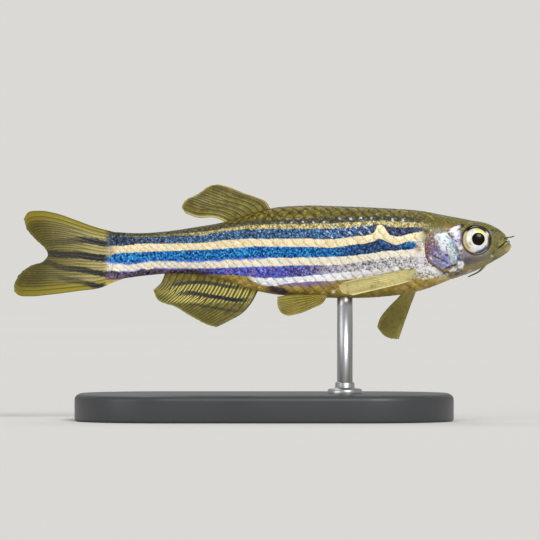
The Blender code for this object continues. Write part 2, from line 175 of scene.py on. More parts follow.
def body(x, angle, inset=0.0):
    """Points of the body's surface; the angle runs from the back down the right side."""
    top, bottom = profile(BACK, x) - inset, profile(BELLY, x) + inset
    middle_height = bottom + WIDEST * (top - bottom)
    up, out = np.cos(angle), np.sin(angle)
    reach = np.where(up > 0, top - middle_height, middle_height - bottom)
    power = 2 / ROUNDNESS
    wedge = 1 - 0.9 * ease(-x, *TAIL_WEDGE)
    half = np.maximum(profile(HALF_WIDTH, x) - inset, 0.0) * wedge
    z = middle_height + reach * np.sign(up) * np.abs(up) ** power
    y = -half * np.sign(out) * np.abs(out) ** power
    return np.stack(np.broadcast_arrays(x, y, z), -1)


def flank(x, z):
    """Half the body's width at a height."""
    top, bottom = profile(BACK, x), profile(BELLY, x)
    centre = bottom + WIDEST * (top - bottom)
    share = np.where(z > centre, (z - centre) / (top - centre), (centre - z) / (centre - bottom))
    return profile(HALF_WIDTH, x) * (1 - np.clip(share, 0, 1) ** ROUNDNESS) ** (1 / ROUNDNESS)


def gill_edge(angle):
    """X of the gill cover's rear edge, the same on both sides."""
    turn = np.degrees(angle) % 360
    return profile(GILL_EDGE, np.minimum(turn, 360 - turn))


def even_angles():
    """Angles that part the middle of the trunk into even steps, by the share of the way round."""
    angle = np.linspace(0, 2 * math.pi, 721)
    ring = body(np.full(len(angle), MID_TRUNK), angle)
    steps = np.linalg.norm(np.diff(ring, axis=0), axis=1)
    return np.concatenate([[0.0], np.cumsum(steps)]) / steps.sum(), angle


EVEN = even_angles()


def around(share):
    """Angle round the body at a share of the way round, in even steps."""
    turns = np.floor(share)
    return np.interp(share - turns, *EVEN) + 2 * math.pi * turns


def facing(x, angle, inset):
    """Outward direction of the body's surface."""
    step = 0.02
    dx = body(x + step, angle, inset) - body(x - step, angle, inset)
    turned = body(x, angle + step, inset) - body(x, angle - step, inset)
    normal = np.cross(turned, dx)
    return normal / np.maximum(np.linalg.norm(normal, axis=-1, keepdims=True), 1e-9)


# Making meshes

def to_world(points):
    """Fish frame in millimetres to the model's frame in metres."""
    return np.asarray(points, float) * MM + ORIGIN


def make(name, points, faces, finish, node=(), uv=None, values=None, loop_uv=None):
    """A smooth closed piece from points in metres; it takes the place of the named solids."""
    mesh = bpy.data.meshes.new(name)
    faces = faces if isinstance(faces, list) else faces.tolist()
    mesh.from_pydata(np.asarray(points).tolist(), [], faces)
    for key, value in (values or {}).items():
        value = np.asarray(value, np.float32)
        kind = "FLOAT_VECTOR" if value.ndim > 1 else "FLOAT"
        data = mesh.attributes.new(key, kind, "POINT").data
        data.foreach_set("vector" if value.ndim > 1 else "value", value.ravel())
    if uv is not None or loop_uv is not None:
        if loop_uv is None:
            corner = np.zeros(len(mesh.loops), np.int32)
            mesh.loops.foreach_get("vertex_index", corner)
            loop_uv = np.asarray(uv)[corner]
        layer = mesh.uv_layers.new(name="OFBake")
        layer.data.foreach_set("uv", np.asarray(loop_uv, np.float32).ravel())
    shape = bmesh.new()
    shape.from_mesh(mesh)
    if shape.calc_volume(signed=True) < 0:
        bmesh.ops.reverse_faces(shape, faces=shape.faces)
        shape.to_mesh(mesh)
    shape.free()
    mesh.shade_smooth()
    mesh.materials.append(finish)
    made = bpy.data.objects.new(name, mesh)
    bpy.context.scene.collection.objects.link(made)
    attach(made, "root")
    if node:
        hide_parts(*([node] if isinstance(node, str) else node))
    return made


def slab_faces(rows, columns):
    """Quads of a thin closed sheet: outer face, inner face and the rim between them."""
    index = np.arange(rows * columns).reshape(rows, columns)
    outer = np.stack([index[:-1, :-1], index[1:, :-1], index[1:, 1:], index[:-1, 1:]], -1)
    outer = outer.reshape(-1, 4)
    shift = rows * columns
    edge = np.concatenate([index[:-1, 0], index[-1, :-1], index[:0:-1, -1], index[0, :0:-1]])
    after = np.roll(edge, -1)
    rim = np.stack([after, edge, edge + shift, after + shift], -1)
    return np.concatenate([outer, outer[:, ::-1] + shift, rim])


def turned_faces(rings, sides, closed_start=True, closed_end=True):
    """Quads between rings, with a fan to one more point at each closed end."""
    faces = []
    for ring in range(rings - 1):
        for k in range(sides):
            here, after = ring * sides + k, ring * sides + (k + 1) % sides
            faces.append((here, after, after + sides, here + sides))
    tip = rings * sides
    for ring, closed, turn in ((0, closed_start, 1), (rings - 1, closed_end, -1)):
        if closed:
            for k in range(sides):
                pair = (ring * sides + k, ring * sides + (k + 1) % sides)[::-turn]
                faces.append((*pair, tip))
            tip += 1
    return faces


# Skin

PREOPERCLE = [(-5.66, 1.24), (-5.45, 0.86), (-5.31, 0.42), (-5.04, -0.06), (-4.86, -0.55), (-4.76, -1.03),
              (-5.07, -1.52), (-5.66, -1.75), (-6.27, -2.03)]
LOWER_COVER = [(-7.31, -0.55), (-6.76, -0.93), (-6.27, -1.1), (-5.86, -1.37)]
JAW_CREASE = [(-1.32, -0.12), (-1.62, -0.42), (-1.75, -0.85)]
MAXILLA = [(-1.42, 0.12), (-1.22, 0.58), (-0.9, 0.98)]
NOSE_PITS = [((-1.44, 1.56), 0.085, 0.16), ((-1.7, 1.64), 0.12, 0.22)]


def mouth_place(x, z):
    """Share of the way from the mouth's corner to its front, and the distance above its line."""
    (x0, z0), (x1, z1) = MOUTH_FRONT, MOUTH_CORNER
    run = np.array([x0 - x1, z0 - z1])
    length = np.linalg.norm(run)
    run = run / length
    return ((x - x1) * run[0] + (z - z1) * run[1]) / length, -(x - x1) * run[1] + (z - z1) * run[0]


def gill_relief(gill, angle):
    """The gill cover stands a little proud, over a dark slit behind it."""
    turn = np.degrees(angle) % 360
    turn = np.minimum(turn, 360 - turn)
    there = ease(turn, 38, 60) * (1 - 0.85 * ease(turn, 148, 172))
    plate = 0.09 * ease(gill, -0.03, 0.06) * (1 - 0.7 * ease(gill, 0.4, 3.0))
    slit = 0.24 * ridge(gill + 0.1, 0.08)
    return there * (plate - slit)


def mouth_relief(x, z):
    """A slit between two soft lips, with a fold along the outside of each."""
    share, off = mouth_place(x, z)
    there = ease(share, -0.04, 0.14)
    slit = -0.2 * ridge(off, 0.05)
    lips = 0.065 * ridge(np.abs(off) - 0.15, 0.08)
    folds = -0.045 * ridge(np.abs(off) - 0.33, 0.06)
    return there * (slit + lips + folds)


def head_relief(points, angle):
    """Folds and plates of the head, as distances outwards."""
    x, y, z = points[..., 0], points[..., 1], points[..., 2]
    gill = x - gill_edge(angle)
    side = ease(np.abs(y), 0.25, 0.7)
    cover = ease(gill, 0.1, 0.5) * side
    out = gill_relief(gill, angle) + mouth_relief(x, z)
    fold = off_line(x, z, PREOPERCLE)
    out = out + side * (-0.09 * ridge(fold, 0.07) + 0.04 * ridge(fold - 0.17, 0.1))
    out = out - 0.08 * side * ridge(off_line(x, z, LOWER_COVER), 0.07)
    out = out - 0.06 * ridge(off_line(x, z, JAW_CREASE), 0.06)
    out = out - 0.035 * ridge(off_line(x, z, MAXILLA), 0.05)
    for (px, pz), radius, depth in NOSE_PITS:
        near = np.hypot(x - px, z - pz)
        out = out - depth * ridge(near, radius) + 0.03 * ridge(near - 1.5 * radius, 0.05)
    eye = np.hypot(x - EYE_AT[0], z - EYE_AT[1])
    below = ease(0.6 - z, 0.0, 0.6)
    out = out - 0.035 * below * side * ridge(eye - 1.95, 0.06) + 0.04 * ridge(eye - 1.55, 0.11)
    rays = np.arctan2(z - 1.3, x + 5.4)
    out = out + 0.006 * cover * np.cos(34 * rays) * ease(-x, 5.6, 6.0)
    under = ease(np.degrees(np.abs(angle - math.pi)), 46, 30) * ease(x, -6.4, -5.9)
    out = out + under * ease(-x, 3.1, 3.6) * 0.007 * np.cos(2 * math.pi * gill / 0.42)
    chin = ridge(np.abs(y) - 0.16 * np.clip(-x, 0, 3.0) - 0.08, 0.07)
    out = out - 0.05 * chin * ease(-z, 0.3, 0.8) * ease(x, -4.0, -3.0)
    return out * ease(x, -9.2, -8.6) * ease(-x, 0.03, 0.14)


def socket_drop(points):
    """How far the skin turns in round each eye."""
    eye = np.hypot(points[..., 0] - EYE_AT[0], points[..., 2] - EYE_AT[1])
    return 0.12 * ease(-eye, -1.42, -1.3) + 0.75 * ease(-eye, -1.3, -1.08)


def skin_grid():
    """X and angle of each point of the skin, ring by ring from the tail to the nose."""
    rear = HEAD_FROM + (SKIN_END - HEAD_FROM) * np.linspace(1, 0, RINGS_BODY, endpoint=False)
    forward = np.sin(math.pi / 2 * np.linspace(0, 1, RINGS_HEAD, endpoint=False))
    front = HEAD_FROM + (NOSE_END - HEAD_FROM) * forward
    x = np.concatenate([rear, front])[:, None] * np.ones(AROUND)
    angle = around(np.arange(AROUND) / AROUND)[None, :] * np.ones((len(x), 1))
    root = TAIL_ROOT[0] + (TAIL_ROOT[1] - TAIL_ROOT[0]) * (1 - np.cos(angle)) / 2
    end = root - 0.3 - 0.45 * np.sin(angle) ** 2
    x = x + (end - SKIN_END) * ease(-x, 33.0, -SKIN_END)
    return x, angle


def skin(finish):
    """One skin over head, trunk and tail stem, with the folds of the head in its surface."""
    x, angle = skin_grid()
    base = body(x, angle, COAT)
    points = base + facing(x, angle, COAT) * head_relief(base, angle)[..., None]
    points[..., 1] -= np.sign(points[..., 1]) * socket_drop(base)
    rings, sides = x.shape
    nose = np.array([0.0, 0.0, BACK[-1][1]])
    tail = points[0].mean(axis=0)
    flat = np.concatenate([points.reshape(-1, 3), [tail, nose]])
    rest = np.concatenate([base.reshape(-1, 3), [tail, nose]])
    share, off = mouth_place(rest[:, 0], rest[:, 2])
    gill = np.append((x - gill_edge(angle)).ravel(), [1.0, 1.0])
    eye = np.hypot(rest[:, 0] - EYE_AT[0], rest[:, 2] - EYE_AT[1]) - EYE_RADIUS
    hollow = np.append(np.clip(-head_relief(base, angle), 0, 1).ravel(), [0.0, 0.0])
    faces = turned_faces(rings, sides)
    return make("danio_skin", to_world(flat), faces, finish, node=("head", "trunk", "tail_stem"),
                loop_uv=skin_unwrap(faces, rings, sides),
                values={"place": rest, "gill": gill, "eye_rim": eye, "hollow": hollow,
                        "mouth": np.where(share > -0.05, off, 9.0)})


def skin_uv(ring, turn):
    """Place on the skin's unwrap of a ring's share from the tail and the share of the way round."""
    return np.stack([0.01 + 0.97 * np.asarray(ring, float), 0.01 + 0.98 * np.asarray(turn, float)], -1)


def skin_unwrap(faces, rings, sides):
    """The unwrap of the skin, opened along the back; each face keeps its own side of the cut."""
    places = []
    for face in faces:
        ring = [point // sides for point in face]
        turn = [point % sides for point in face]
        wraps = 0 in turn and sides - 1 in turn
        for point, r, t in zip(face, ring, turn):
            if point == rings * sides:
                r, t = -0.8, (turn[0] + turn[1] + (sides if wraps else 0)) / 2
            elif point == rings * sides + 1:
                r, t = rings - 0.2, (turn[0] + turn[1] + (sides if wraps else 0)) / 2
            elif wraps and t == 0:
                t = sides
            places.append(((r + 1) / (rings + 1), t / sides))
    places = np.asarray(places)
    return skin_uv(places[:, 0], places[:, 1])


def ring_share(x):
    """Share along the skin's unwrap at an x of the body."""
    behind = (x - SKIN_END) / (HEAD_FROM - SKIN_END) * RINGS_BODY
    forward = np.clip((x - HEAD_FROM) / (NOSE_END - HEAD_FROM), 0, 1)
    ahead = RINGS_BODY + np.arcsin(forward) / (math.pi / 2) * RINGS_HEAD
    return (np.where(x < HEAD_FROM, behind, ahead) + 1) / (RINGS_BODY + RINGS_HEAD + 1)


# Scales

def scale_size(x):
    """Size of the scales against those of the middle, smaller where the body is slim."""
    return ((profile(BACK, x) - profile(BELLY, x)) / FULL_DEPTH) ** 0.6


def scale_roots():
    """X and share of the way round of each scale's root, in staggered rows from head to tail."""
    places, x, column = [], SCALES_FROM, 0
    while x > SCALES_END + LAST_GAP:
        for row in range(SCALE_ROWS):
            share = (row + 0.5) / SCALE_ROWS
            if row % 2 == column % 2 and x < gill_edge(around(share)) + UNDER_COVER:
                places.append((x, share))
        x -= SCALE_SPACING * float(scale_size(x)) / 2
        column += 1
    return np.array(places)


def scales(name, side, finish):
    """Overlapping scales of one side, each a thin plate rooted in the skin with its rear end lifted."""
    roots = scale_roots()
    chance = np.random.default_rng(11).random((len(roots), 4))
    keep = (roots[:, 1] < 0.5) == (side < 0)
    roots, chance = roots[keep], chance[keep]
    rows, columns = SCALE_GRID
    s = np.linspace(0, 1, rows)[None, :, None]
    t = np.linspace(-1, 1, columns)[None, None, :]
    x0, share0 = roots[:, 0, None, None], roots[:, 1, None, None]
    size = scale_size(x0) * (0.97 + 0.06 * chance[:, 0, None, None])
    length = np.minimum(SCALE_LENGTH * SCALE_SPACING * size, x0 - SCALES_END)
    run = s * (1 - SCALE_CURVE * t**2)
    x = x0 - length * run + 0.05 * (chance[:, 1, None, None] - 0.5) * t * s
    share = share0 + SCALE_WIDTH / SCALE_ROWS * t * (0.82 + 0.18 * ease(s, 0.0, 0.45))
    angle = around(share)
    lift = SCALE_LIFT * size * run * (0.92 + 0.16 * chance[:, 2, None, None])
    height = lift + SCALE_CROWN * (1 - t**2) * ease(s, 0, 0.5) - SCALE_SUNK
    base = body(x, angle, COAT)
    out = facing(x, angle, COAT)
    top = base + out * height[..., None]
    under = base + out * (height - SCALE_THICK)[..., None]
    count = len(roots)
    points = np.stack([top, under], 1).reshape(count, -1, 3)
    faces = slab_faces(rows, columns)
    faces = (faces[None] + (np.arange(count) * points.shape[1])[:, None, None]).reshape(-1, 4)
    centre = skin_uv(ring_share(roots[:, 0]), roots[:, 1])
    cell = np.stack(np.broadcast_arrays(0.5 - s, 0.5 * t + 0 * s), -1).reshape(1, -1, 2) * SCALE_PATCH
    uv = np.stack([centre[:, None] + cell, centre[:, None] + 0.9 * cell], 1).reshape(-1, 2)
    rest = np.stack([base, base], 1).reshape(-1, 3)
    edge = np.broadcast_to(s, height.shape)
    tone = np.broadcast_to(chance[:, 3, None, None], height.shape)
    low = np.broadcast_to(-side * t, height.shape)
    both = {"edge": edge, "tone": tone, "low": low}
    both = {key: np.stack([v, v], 1).ravel() for key, v in both.items()}
    return make(name, to_world(points.reshape(-1, 3)), faces, finish, uv=uv,
                values={"place": rest, **both})


# Fins

def patch(root, lead, margin, trail):
    """A smooth sheet filling four edges, as a function of (share of the root, share outwards)."""
    base, tip = along(root), along([lead[-1], *margin])
    first, last = along([root[0], *lead]), along([root[-1], *trail, margin[-1]])
    corners = base(0.0), base(1.0), tip(0.0), tip(1.0)

    def point(u, v):
        across, out = u[..., None], v[..., None]
        edges = (1 - out) * base(u) + out * tip(u) + (1 - across) * first(v) + across * last(v)
        flat = (1 - out) * ((1 - across) * corners[0] + across * corners[1])
        return edges - flat - out * ((1 - across) * corners[2] + across * corners[3])

    return point


def ray_height(u, v, rays, split):
    """Height of the rays from 0 to 1: each splits in two and then in four towards the margin."""
    place = u * (rays - 1)
    nearest = np.round(place)
    off = np.abs(place - nearest)
    forked = ((nearest > 1.5) & (nearest < rays - 2.5)) * 1.0
    fork = forked * 0.25 * ease(v, split, split + 0.3)
    twig = forked * 0.11 * ease(v, split + 0.28, 1.0)
    off = np.abs(np.abs(off - fork) - twig)
    width = 0.26 * (1 - v) + 0.075 * v
    edge = 1.0 + 0.5 * ((nearest < 0.5) | (nearest > rays - 1.5))
    return ridge(off, width * edge)


def fin(name, sheet, rays, finish, per_ray=10, rows=70, split=0.42, sway=0.06, seed=3, web=0.022, ray=0.06,
        fleshy=0.12):
    """A thin fin with forked rays standing out on both faces and a slightly ragged free margin."""
    columns = (rays - 1) * per_ray + 1
    u = np.linspace(0, 1, columns)[None, :] * np.ones((rows, 1))
    v = np.linspace(0, 1, rows)[:, None] * np.ones((1, columns))
    chance = np.random.default_rng(seed)
    ragged = np.interp(u[0], np.linspace(0, 1, 2 * rays), chance.random(2 * rays))
    between = np.abs(u[0] * (rays - 1) - np.round(u[0] * (rays - 1))) * 2
    reach = 1 - 0.006 * between**2 - 0.008 * ragged
    out = v * (1 + (reach - 1) * ease(v, 0.6, 1.0))
    place = sheet(u, out)
    across = np.cross(np.gradient(place, axis=1), np.gradient(place, axis=0)).reshape(-1, 3).sum(axis=0)
    across = across / np.linalg.norm(across)
    wave = sway * v * (np.sin(5.1 * u + 2.2 * v + seed) + 0.5 * np.sin(11 * u - 3 * v))
    height = ray_height(u, v, rays, split)
    thick = web + (ray - web) * height * ease(v, 0.03, 0.2)
    thick = thick * (1 - 0.6 * ease(v, 0.75, 1.0)) + fleshy * (1 - ease(v, 0.0, 0.2))
    middle_sheet = place + across * wave[..., None]
    top = middle_sheet + across * thick[..., None]
    under = middle_sheet - across * thick[..., None]
    points = np.concatenate([top.reshape(-1, 3), under.reshape(-1, 3)])
    uv = np.stack([0.01 + 0.98 * u, 0.01 + 0.98 * v], -1).reshape(-1, 2)
    uv = np.concatenate([uv, 0.5 + 0.99 * (uv - 0.5)])
    twice = lambda part: np.concatenate([part.ravel(), part.ravel()])
    rest = np.concatenate([place.reshape(-1, 3)] * 2)
    return make(name + "_web", to_world(points), slab_faces(rows, columns), finish, node=name,
                uv=uv, values={"place": rest, "ray": twice(height), "reach": twice(v), "across": twice(u)})


def upright(points):
    """Side-view points set on the middle plane."""
    return [(x, 0.0, z) for x, z in points]


def along_outline(outline, start, end, off, steps=6):
    """Points beside an outline of the body; a distance towards the body's middle sinks them in."""
    places = [start + (end - start) * i / steps for i in range(steps + 1)]
    return [(x, float(profile(outline, x)) + off) for x in places]


def tail_fin(finish):
    """The forked tail fin, its root sunk in the fleshy end of the body."""
    root = [(-35.2, 1.3), (-34.75, -2.7)]
    lead = [(-36.0, 1.5), (-37.5, 1.9), (-39.3, 2.55), (-41.1, 3.15), (-42.6, 3.35), (-43.5, 3.2),
            (-43.9, 2.6)]
    margin = [(-43.7, 1.8), (-42.8, 0.7), (-41.95, -0.15), (-41.75, -0.55), (-42.05, -1.1),
              (-43.35, -1.6), (-44.4, -2.45), (-44.8, -3.3), (-44.8, -3.85)]
    trail = [(-35.6, -3.0), (-37.05, -3.6), (-38.85, -3.85), (-41.55, -4.2), (-43.35, -4.35),
             (-44.35, -4.25)]
    sheet = patch(upright(root), upright(lead), upright(margin), upright(trail))
    return fin("tail_fin", sheet, 19, finish, per_ray=11, rows=90, split=0.34, sway=0.09, fleshy=0.05)


def dorsal_fin(finish):
    """The back fin, folded low towards the tail."""
    root = along_outline(BACK, -21.6, -25.5, -0.3)
    lead = [(-22.1, 4.15), (-22.95, 4.55), (-24.15, 4.95), (-25.35, 5.45), (-26.5, 5.75)]
    margin = [(-27.15, 5.6), (-28.2, 4.9), (-29.45, 4.2), (-29.7, 3.8), (-29.4, 3.15)]
    trail = [(-26.7, 2.72), (-28.3, 2.75)]
    sheet = patch(upright(root), upright(lead), upright(margin), upright(trail))
    return fin("dorsal_fin", sheet, 9, finish, per_ray=12, rows=70, seed=5)


def anal_fin(finish):
    """The long fin under the rear of the body."""
    root = along_outline(BELLY, -22.7, -31.1, 0.3)
    lead = [(-23.55, -5.15), (-24.15, -5.8), (-25.5, -6.6), (-26.6, -7.15)]
    margin = [(-27.3, -6.95), (-28.95, -6.1), (-30.3, -5.3), (-31.9, -4.6), (-32.25, -3.8)]
    trail = [(-31.6, -3.2)]
    sheet = patch(upright(root), upright(lead), upright(margin), upright(trail))
    return fin("anal_fin", sheet, 15, finish, per_ray=11, rows=70, seed=7)


def pelvic_fin(name, side, finish):
    """A small fin under the belly, leaning outwards."""
    def place(x, out, z):
        return (x, side * out, z)

    root = [place(-16.6, 0.62, -4.3), place(-17.1, 0.72, -4.25), place(-17.6, 0.85, -4.2)]
    lead = [place(-17.0, 0.85, -4.95), place(-17.95, 1.2, -5.42), place(-18.75, 1.45, -5.77),
            place(-20.1, 1.8, -6.1)]
    margin = [place(-20.7, 1.85, -5.85), place(-21.0, 1.85, -5.4), place(-21.1, 1.75, -4.85),
              place(-21.1, 1.65, -4.4)]
    trail = [place(-18.4, 1.22, -4.2), place(-19.6, 1.45, -4.2)]
    return fin(name, patch(root, lead, margin, trail), 8, finish, per_ray=10, rows=50, seed=9 + side,
               sway=0.04)


def pectoral_root(side):
    """The slanting line on the flank that a breast fin grows from, sunk a little into it."""
    places = ((-8.15, -1.9), (-8.6, -2.4), (-9.0, -2.92))
    return [(x, side * (float(flank(x, z)) - 0.4), z) for x, z in places]


def pectoral_fin(name, side, lead, margin, trail, finish, seed):
    """A breast fin; each point is x, distance out from its start on the flank, and height."""
    start = float(flank(-8.6, -2.4)) + 0.45

    def edge(points):
        return [(x, side * (start + out), z) for x, out, z in points]

    sheet = patch(pectoral_root(side), edge(lead), edge(margin), edge(trail))
    return fin(name, sheet, 12, finish, per_ray=10, rows=64, seed=seed, sway=0.05)


FOLDED = ([(-9.6, 0.1, -1.95), (-11.4, 0.3, -2.3), (-13.45, 0.5, -2.65), (-15.0, 0.65, -3.0)],
          [(-15.6, 0.65, -3.4), (-15.4, 0.6, -3.95), (-14.35, 0.5, -4.25)],
          [(-9.95, -0.05, -3.2), (-10.95, 0.1, -3.45), (-12.75, 0.3, -3.87)])
LOWERED = ([(-8.5, 0.9, -3.8), (-9.1, 1.8, -5.5), (-9.6, 2.4, -6.95), (-10.05, 2.8, -8.3)],
           [(-10.75, 2.75, -8.2), (-11.45, 2.6, -7.9), (-12.0, 2.3, -7.2)],
           [(-10.1, 0.75, -4.5), (-11.05, 1.4, -5.5), (-11.75, 1.95, -6.45)])


# Eyes, feelers and stand

def eye(name, side, finish):
    """A glossy eyeball with a raised iris and a domed pupil."""
    rings, sides = 56, 72
    slope = np.linspace(0, math.pi, rings + 2)[1:-1, None]
    turn = np.linspace(0, 2 * math.pi, sides, endpoint=False)[None, :]
    radius = np.sin(slope) * np.ones_like(turn)
    across, up = radius * np.cos(turn), radius * np.sin(turn)
    pupil = np.hypot(across - PUPIL_AT, up)
    bulge = 1 + 0.035 * ease(-pupil, -0.47, -0.4) - 0.02 * ridge(radius - 0.8, 0.05)
    bulge = np.where(np.cos(slope) > 0, bulge, 1.0)
    depth = np.cos(slope) * bulge
    local = np.stack(np.broadcast_arrays(across, depth, up), -1).reshape(-1, 3)
    local = np.concatenate([local, [[0, 1.035, 0], [0, -1, 0]]])
    size = np.array([EYE_RADIUS - 0.01, EYE_DEPTH - 0.01, EYE_RADIUS - 0.01])
    ball = local * size
    lean = EYE_LEAN
    y = ball[:, 1] * math.cos(lean) + ball[:, 2] * math.sin(-lean)
    z = ball[:, 2] * math.cos(lean) + ball[:, 1] * math.sin(lean)
    x0, z0 = EYE_AT
    y0 = float(flank(x0, z0)) - EYE_SUNK
    points = np.stack([x0 + ball[:, 0], side * (y0 + y), z0 + z], -1)
    uv = np.stack([0.5 + 0.24 * local[:, 0], 0.5 + 0.24 * local[:, 2]], -1)
    spread = 2 - np.clip(np.hypot(local[:, 0], local[:, 2])[:, None], 1e-4, 1)
    back = (local[:, 1] < 0)[:, None]
    away = local[:, [0, 2]] / np.maximum(np.hypot(local[:, 0], local[:, 2])[:, None], 1e-4)
    uv = np.where(back, 0.5 + 0.24 * away * spread, uv)
    return make(name + "_ball", to_world(points), turned_faces(rings, sides), finish, node=name,
                uv=uv, values={"dial": local})


def feeler(name, path, root_radius, tip_radius, finish, sides=14, rings=30):
    """A thin tapering feeler along a path."""
    centre = along(path)
    share = np.linspace(0, 1, rings)
    line = centre(share)
    run = np.gradient(line, axis=0)
    run = run / np.linalg.norm(run, axis=1, keepdims=True)
    across = np.cross(run, [0, 0, 1.0])
    across = across / np.linalg.norm(across, axis=1, keepdims=True)
    up = np.cross(across, run)
    turn = np.linspace(0, 2 * math.pi, sides, endpoint=False)
    radius = (root_radius + (tip_radius - root_radius) * share) * (1 + 0.06 * np.sin(share * 40))
    radius[-1] *= 0.6
    ring = across[:, None] * np.cos(turn)[None, :, None] + up[:, None] * np.sin(turn)[None, :, None]
    points = (line[:, None] + ring * radius[:, None, None]).reshape(-1, 3)
    points = np.concatenate([points, [line[0], line[-1] + run[-1] * tip_radius]])
    length = np.append(np.repeat(share, sides), [0.0, 1.0])
    return make(name + "_feeler", to_world(points), turned_faces(rings, sides), finish, node=name,
                values={"place": points, "length": length})


def feelers(finish):
    """The short pair on the snout and the longer pair from the mouth's corners."""
    for side, hand in ((-1, "right"), (1, "left")):
        out = float(flank(-0.62, 1.0))
        snout = [(-0.66, side * (out - 0.1), 0.95), (-0.45, side * (out + 0.22), 0.95),
                 (-0.1, side * (out + 0.42), 0.97), (0.2, side * (out + 0.5), 1.06)]
        feeler("barbel_rostral_" + hand, snout, 0.085, 0.04, finish)
        out = float(flank(-1.45, -0.45))
        jaw = [(-1.42, side * (out - 0.1), -0.38), (-1.6, side * (out + 0.25), -0.62),
               (-2.2, side * 1.5, -1.3), (-2.85, side * 1.35, -2.05), (-3.9, side * 1.25, -2.6)]
        feeler("barbel_maxillary_" + hand, jaw, 0.09, 0.035, finish, rings=44)


def base_plate(finish):
    """The flat base with round corners and softly rounded edges."""
    low, high = (np.array(part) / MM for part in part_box("stand_base"))
    corner, sides = 8.0, 25
    half = (high[:2] - low[:2]) / 2
    centre = (high[:2] + low[:2]) / 2
    turns = [np.linspace(q, q + 1, sides) * math.pi / 2 for q in range(4)]
    ways = [(1, 1), (-1, 1), (-1, -1), (1, -1)]
    steps = [(0.3, 0.0), (0.12, 0.03), (0.03, 0.12), (0.0, 0.3)]
    rounded = np.linspace(0, math.pi / 2, 7)
    steps += [(0.5 - 0.5 * math.cos(a), high[2] - 0.5 + 0.5 * math.sin(a)) for a in rounded]
    steps += [(1.2, high[2]), (3.0, high[2]), (6.0, high[2])]
    points = []
    for inset, z in steps:
        for turn, (wx, wy) in zip(turns, ways):
            middle_x, middle_y = centre[0] + wx * (half[0] - corner), centre[1] + wy * (half[1] - corner)
            for a in turn:
                points.append((middle_x + (corner - inset) * math.cos(a),
                               middle_y + (corner - inset) * math.sin(a), z))
    count = 4 * sides
    points += [(centre[0], centre[1], low[2]), (centre[0], centre[1], high[2])]
    return make("display_base", np.array(points) * MM, turned_faces(len(steps), count), finish,
                node="stand_base")


def post(finish):
    """The upright rod with a low collar on the base; both of its ends are let in."""
    low, high = (np.array(part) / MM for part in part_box("stand_rod"))
    radius = (high[0] - low[0]) / 2
    cx, cy = (high[0] + low[0]) / 2, 0.0
    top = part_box("stand_base")[1].z / MM
    shape = [(1.55, top - 0.4), (1.55, top + 0.28), (1.47, top + 0.4), (1.3, top + 0.46), (0.95, top + 0.5),
             (0.88, top + 0.56), (0.86, top + 0.95), (0.8, top + 1.02), (radius, top + 1.04),
             (radius, high[2] - 0.4), (radius, high[2] + 0.7)]
    sides = 48
    turn = np.linspace(0, 2 * math.pi, sides, endpoint=False)
    points = [(cx + r * math.cos(a), cy + r * math.sin(a), z) for r, z in shape for a in turn]
    points += [(cx, cy, shape[0][1]), (cx, cy, shape[-1][1])]
    return make("display_rod", np.array(points) * MM, turned_faces(len(shape), sides), finish,
                node="stand_rod")


# Finishes


def paint(red, green, blue):
    """A colour given as 0 to 255 on a screen, as the shader wants it."""
    parts = [c / 255 for c in (red, green, blue)]
    return (*[c / 12.92 if c <= 0.04045 else ((c + 0.055) / 1.055) ** 2.4 for c in parts], 1.0)


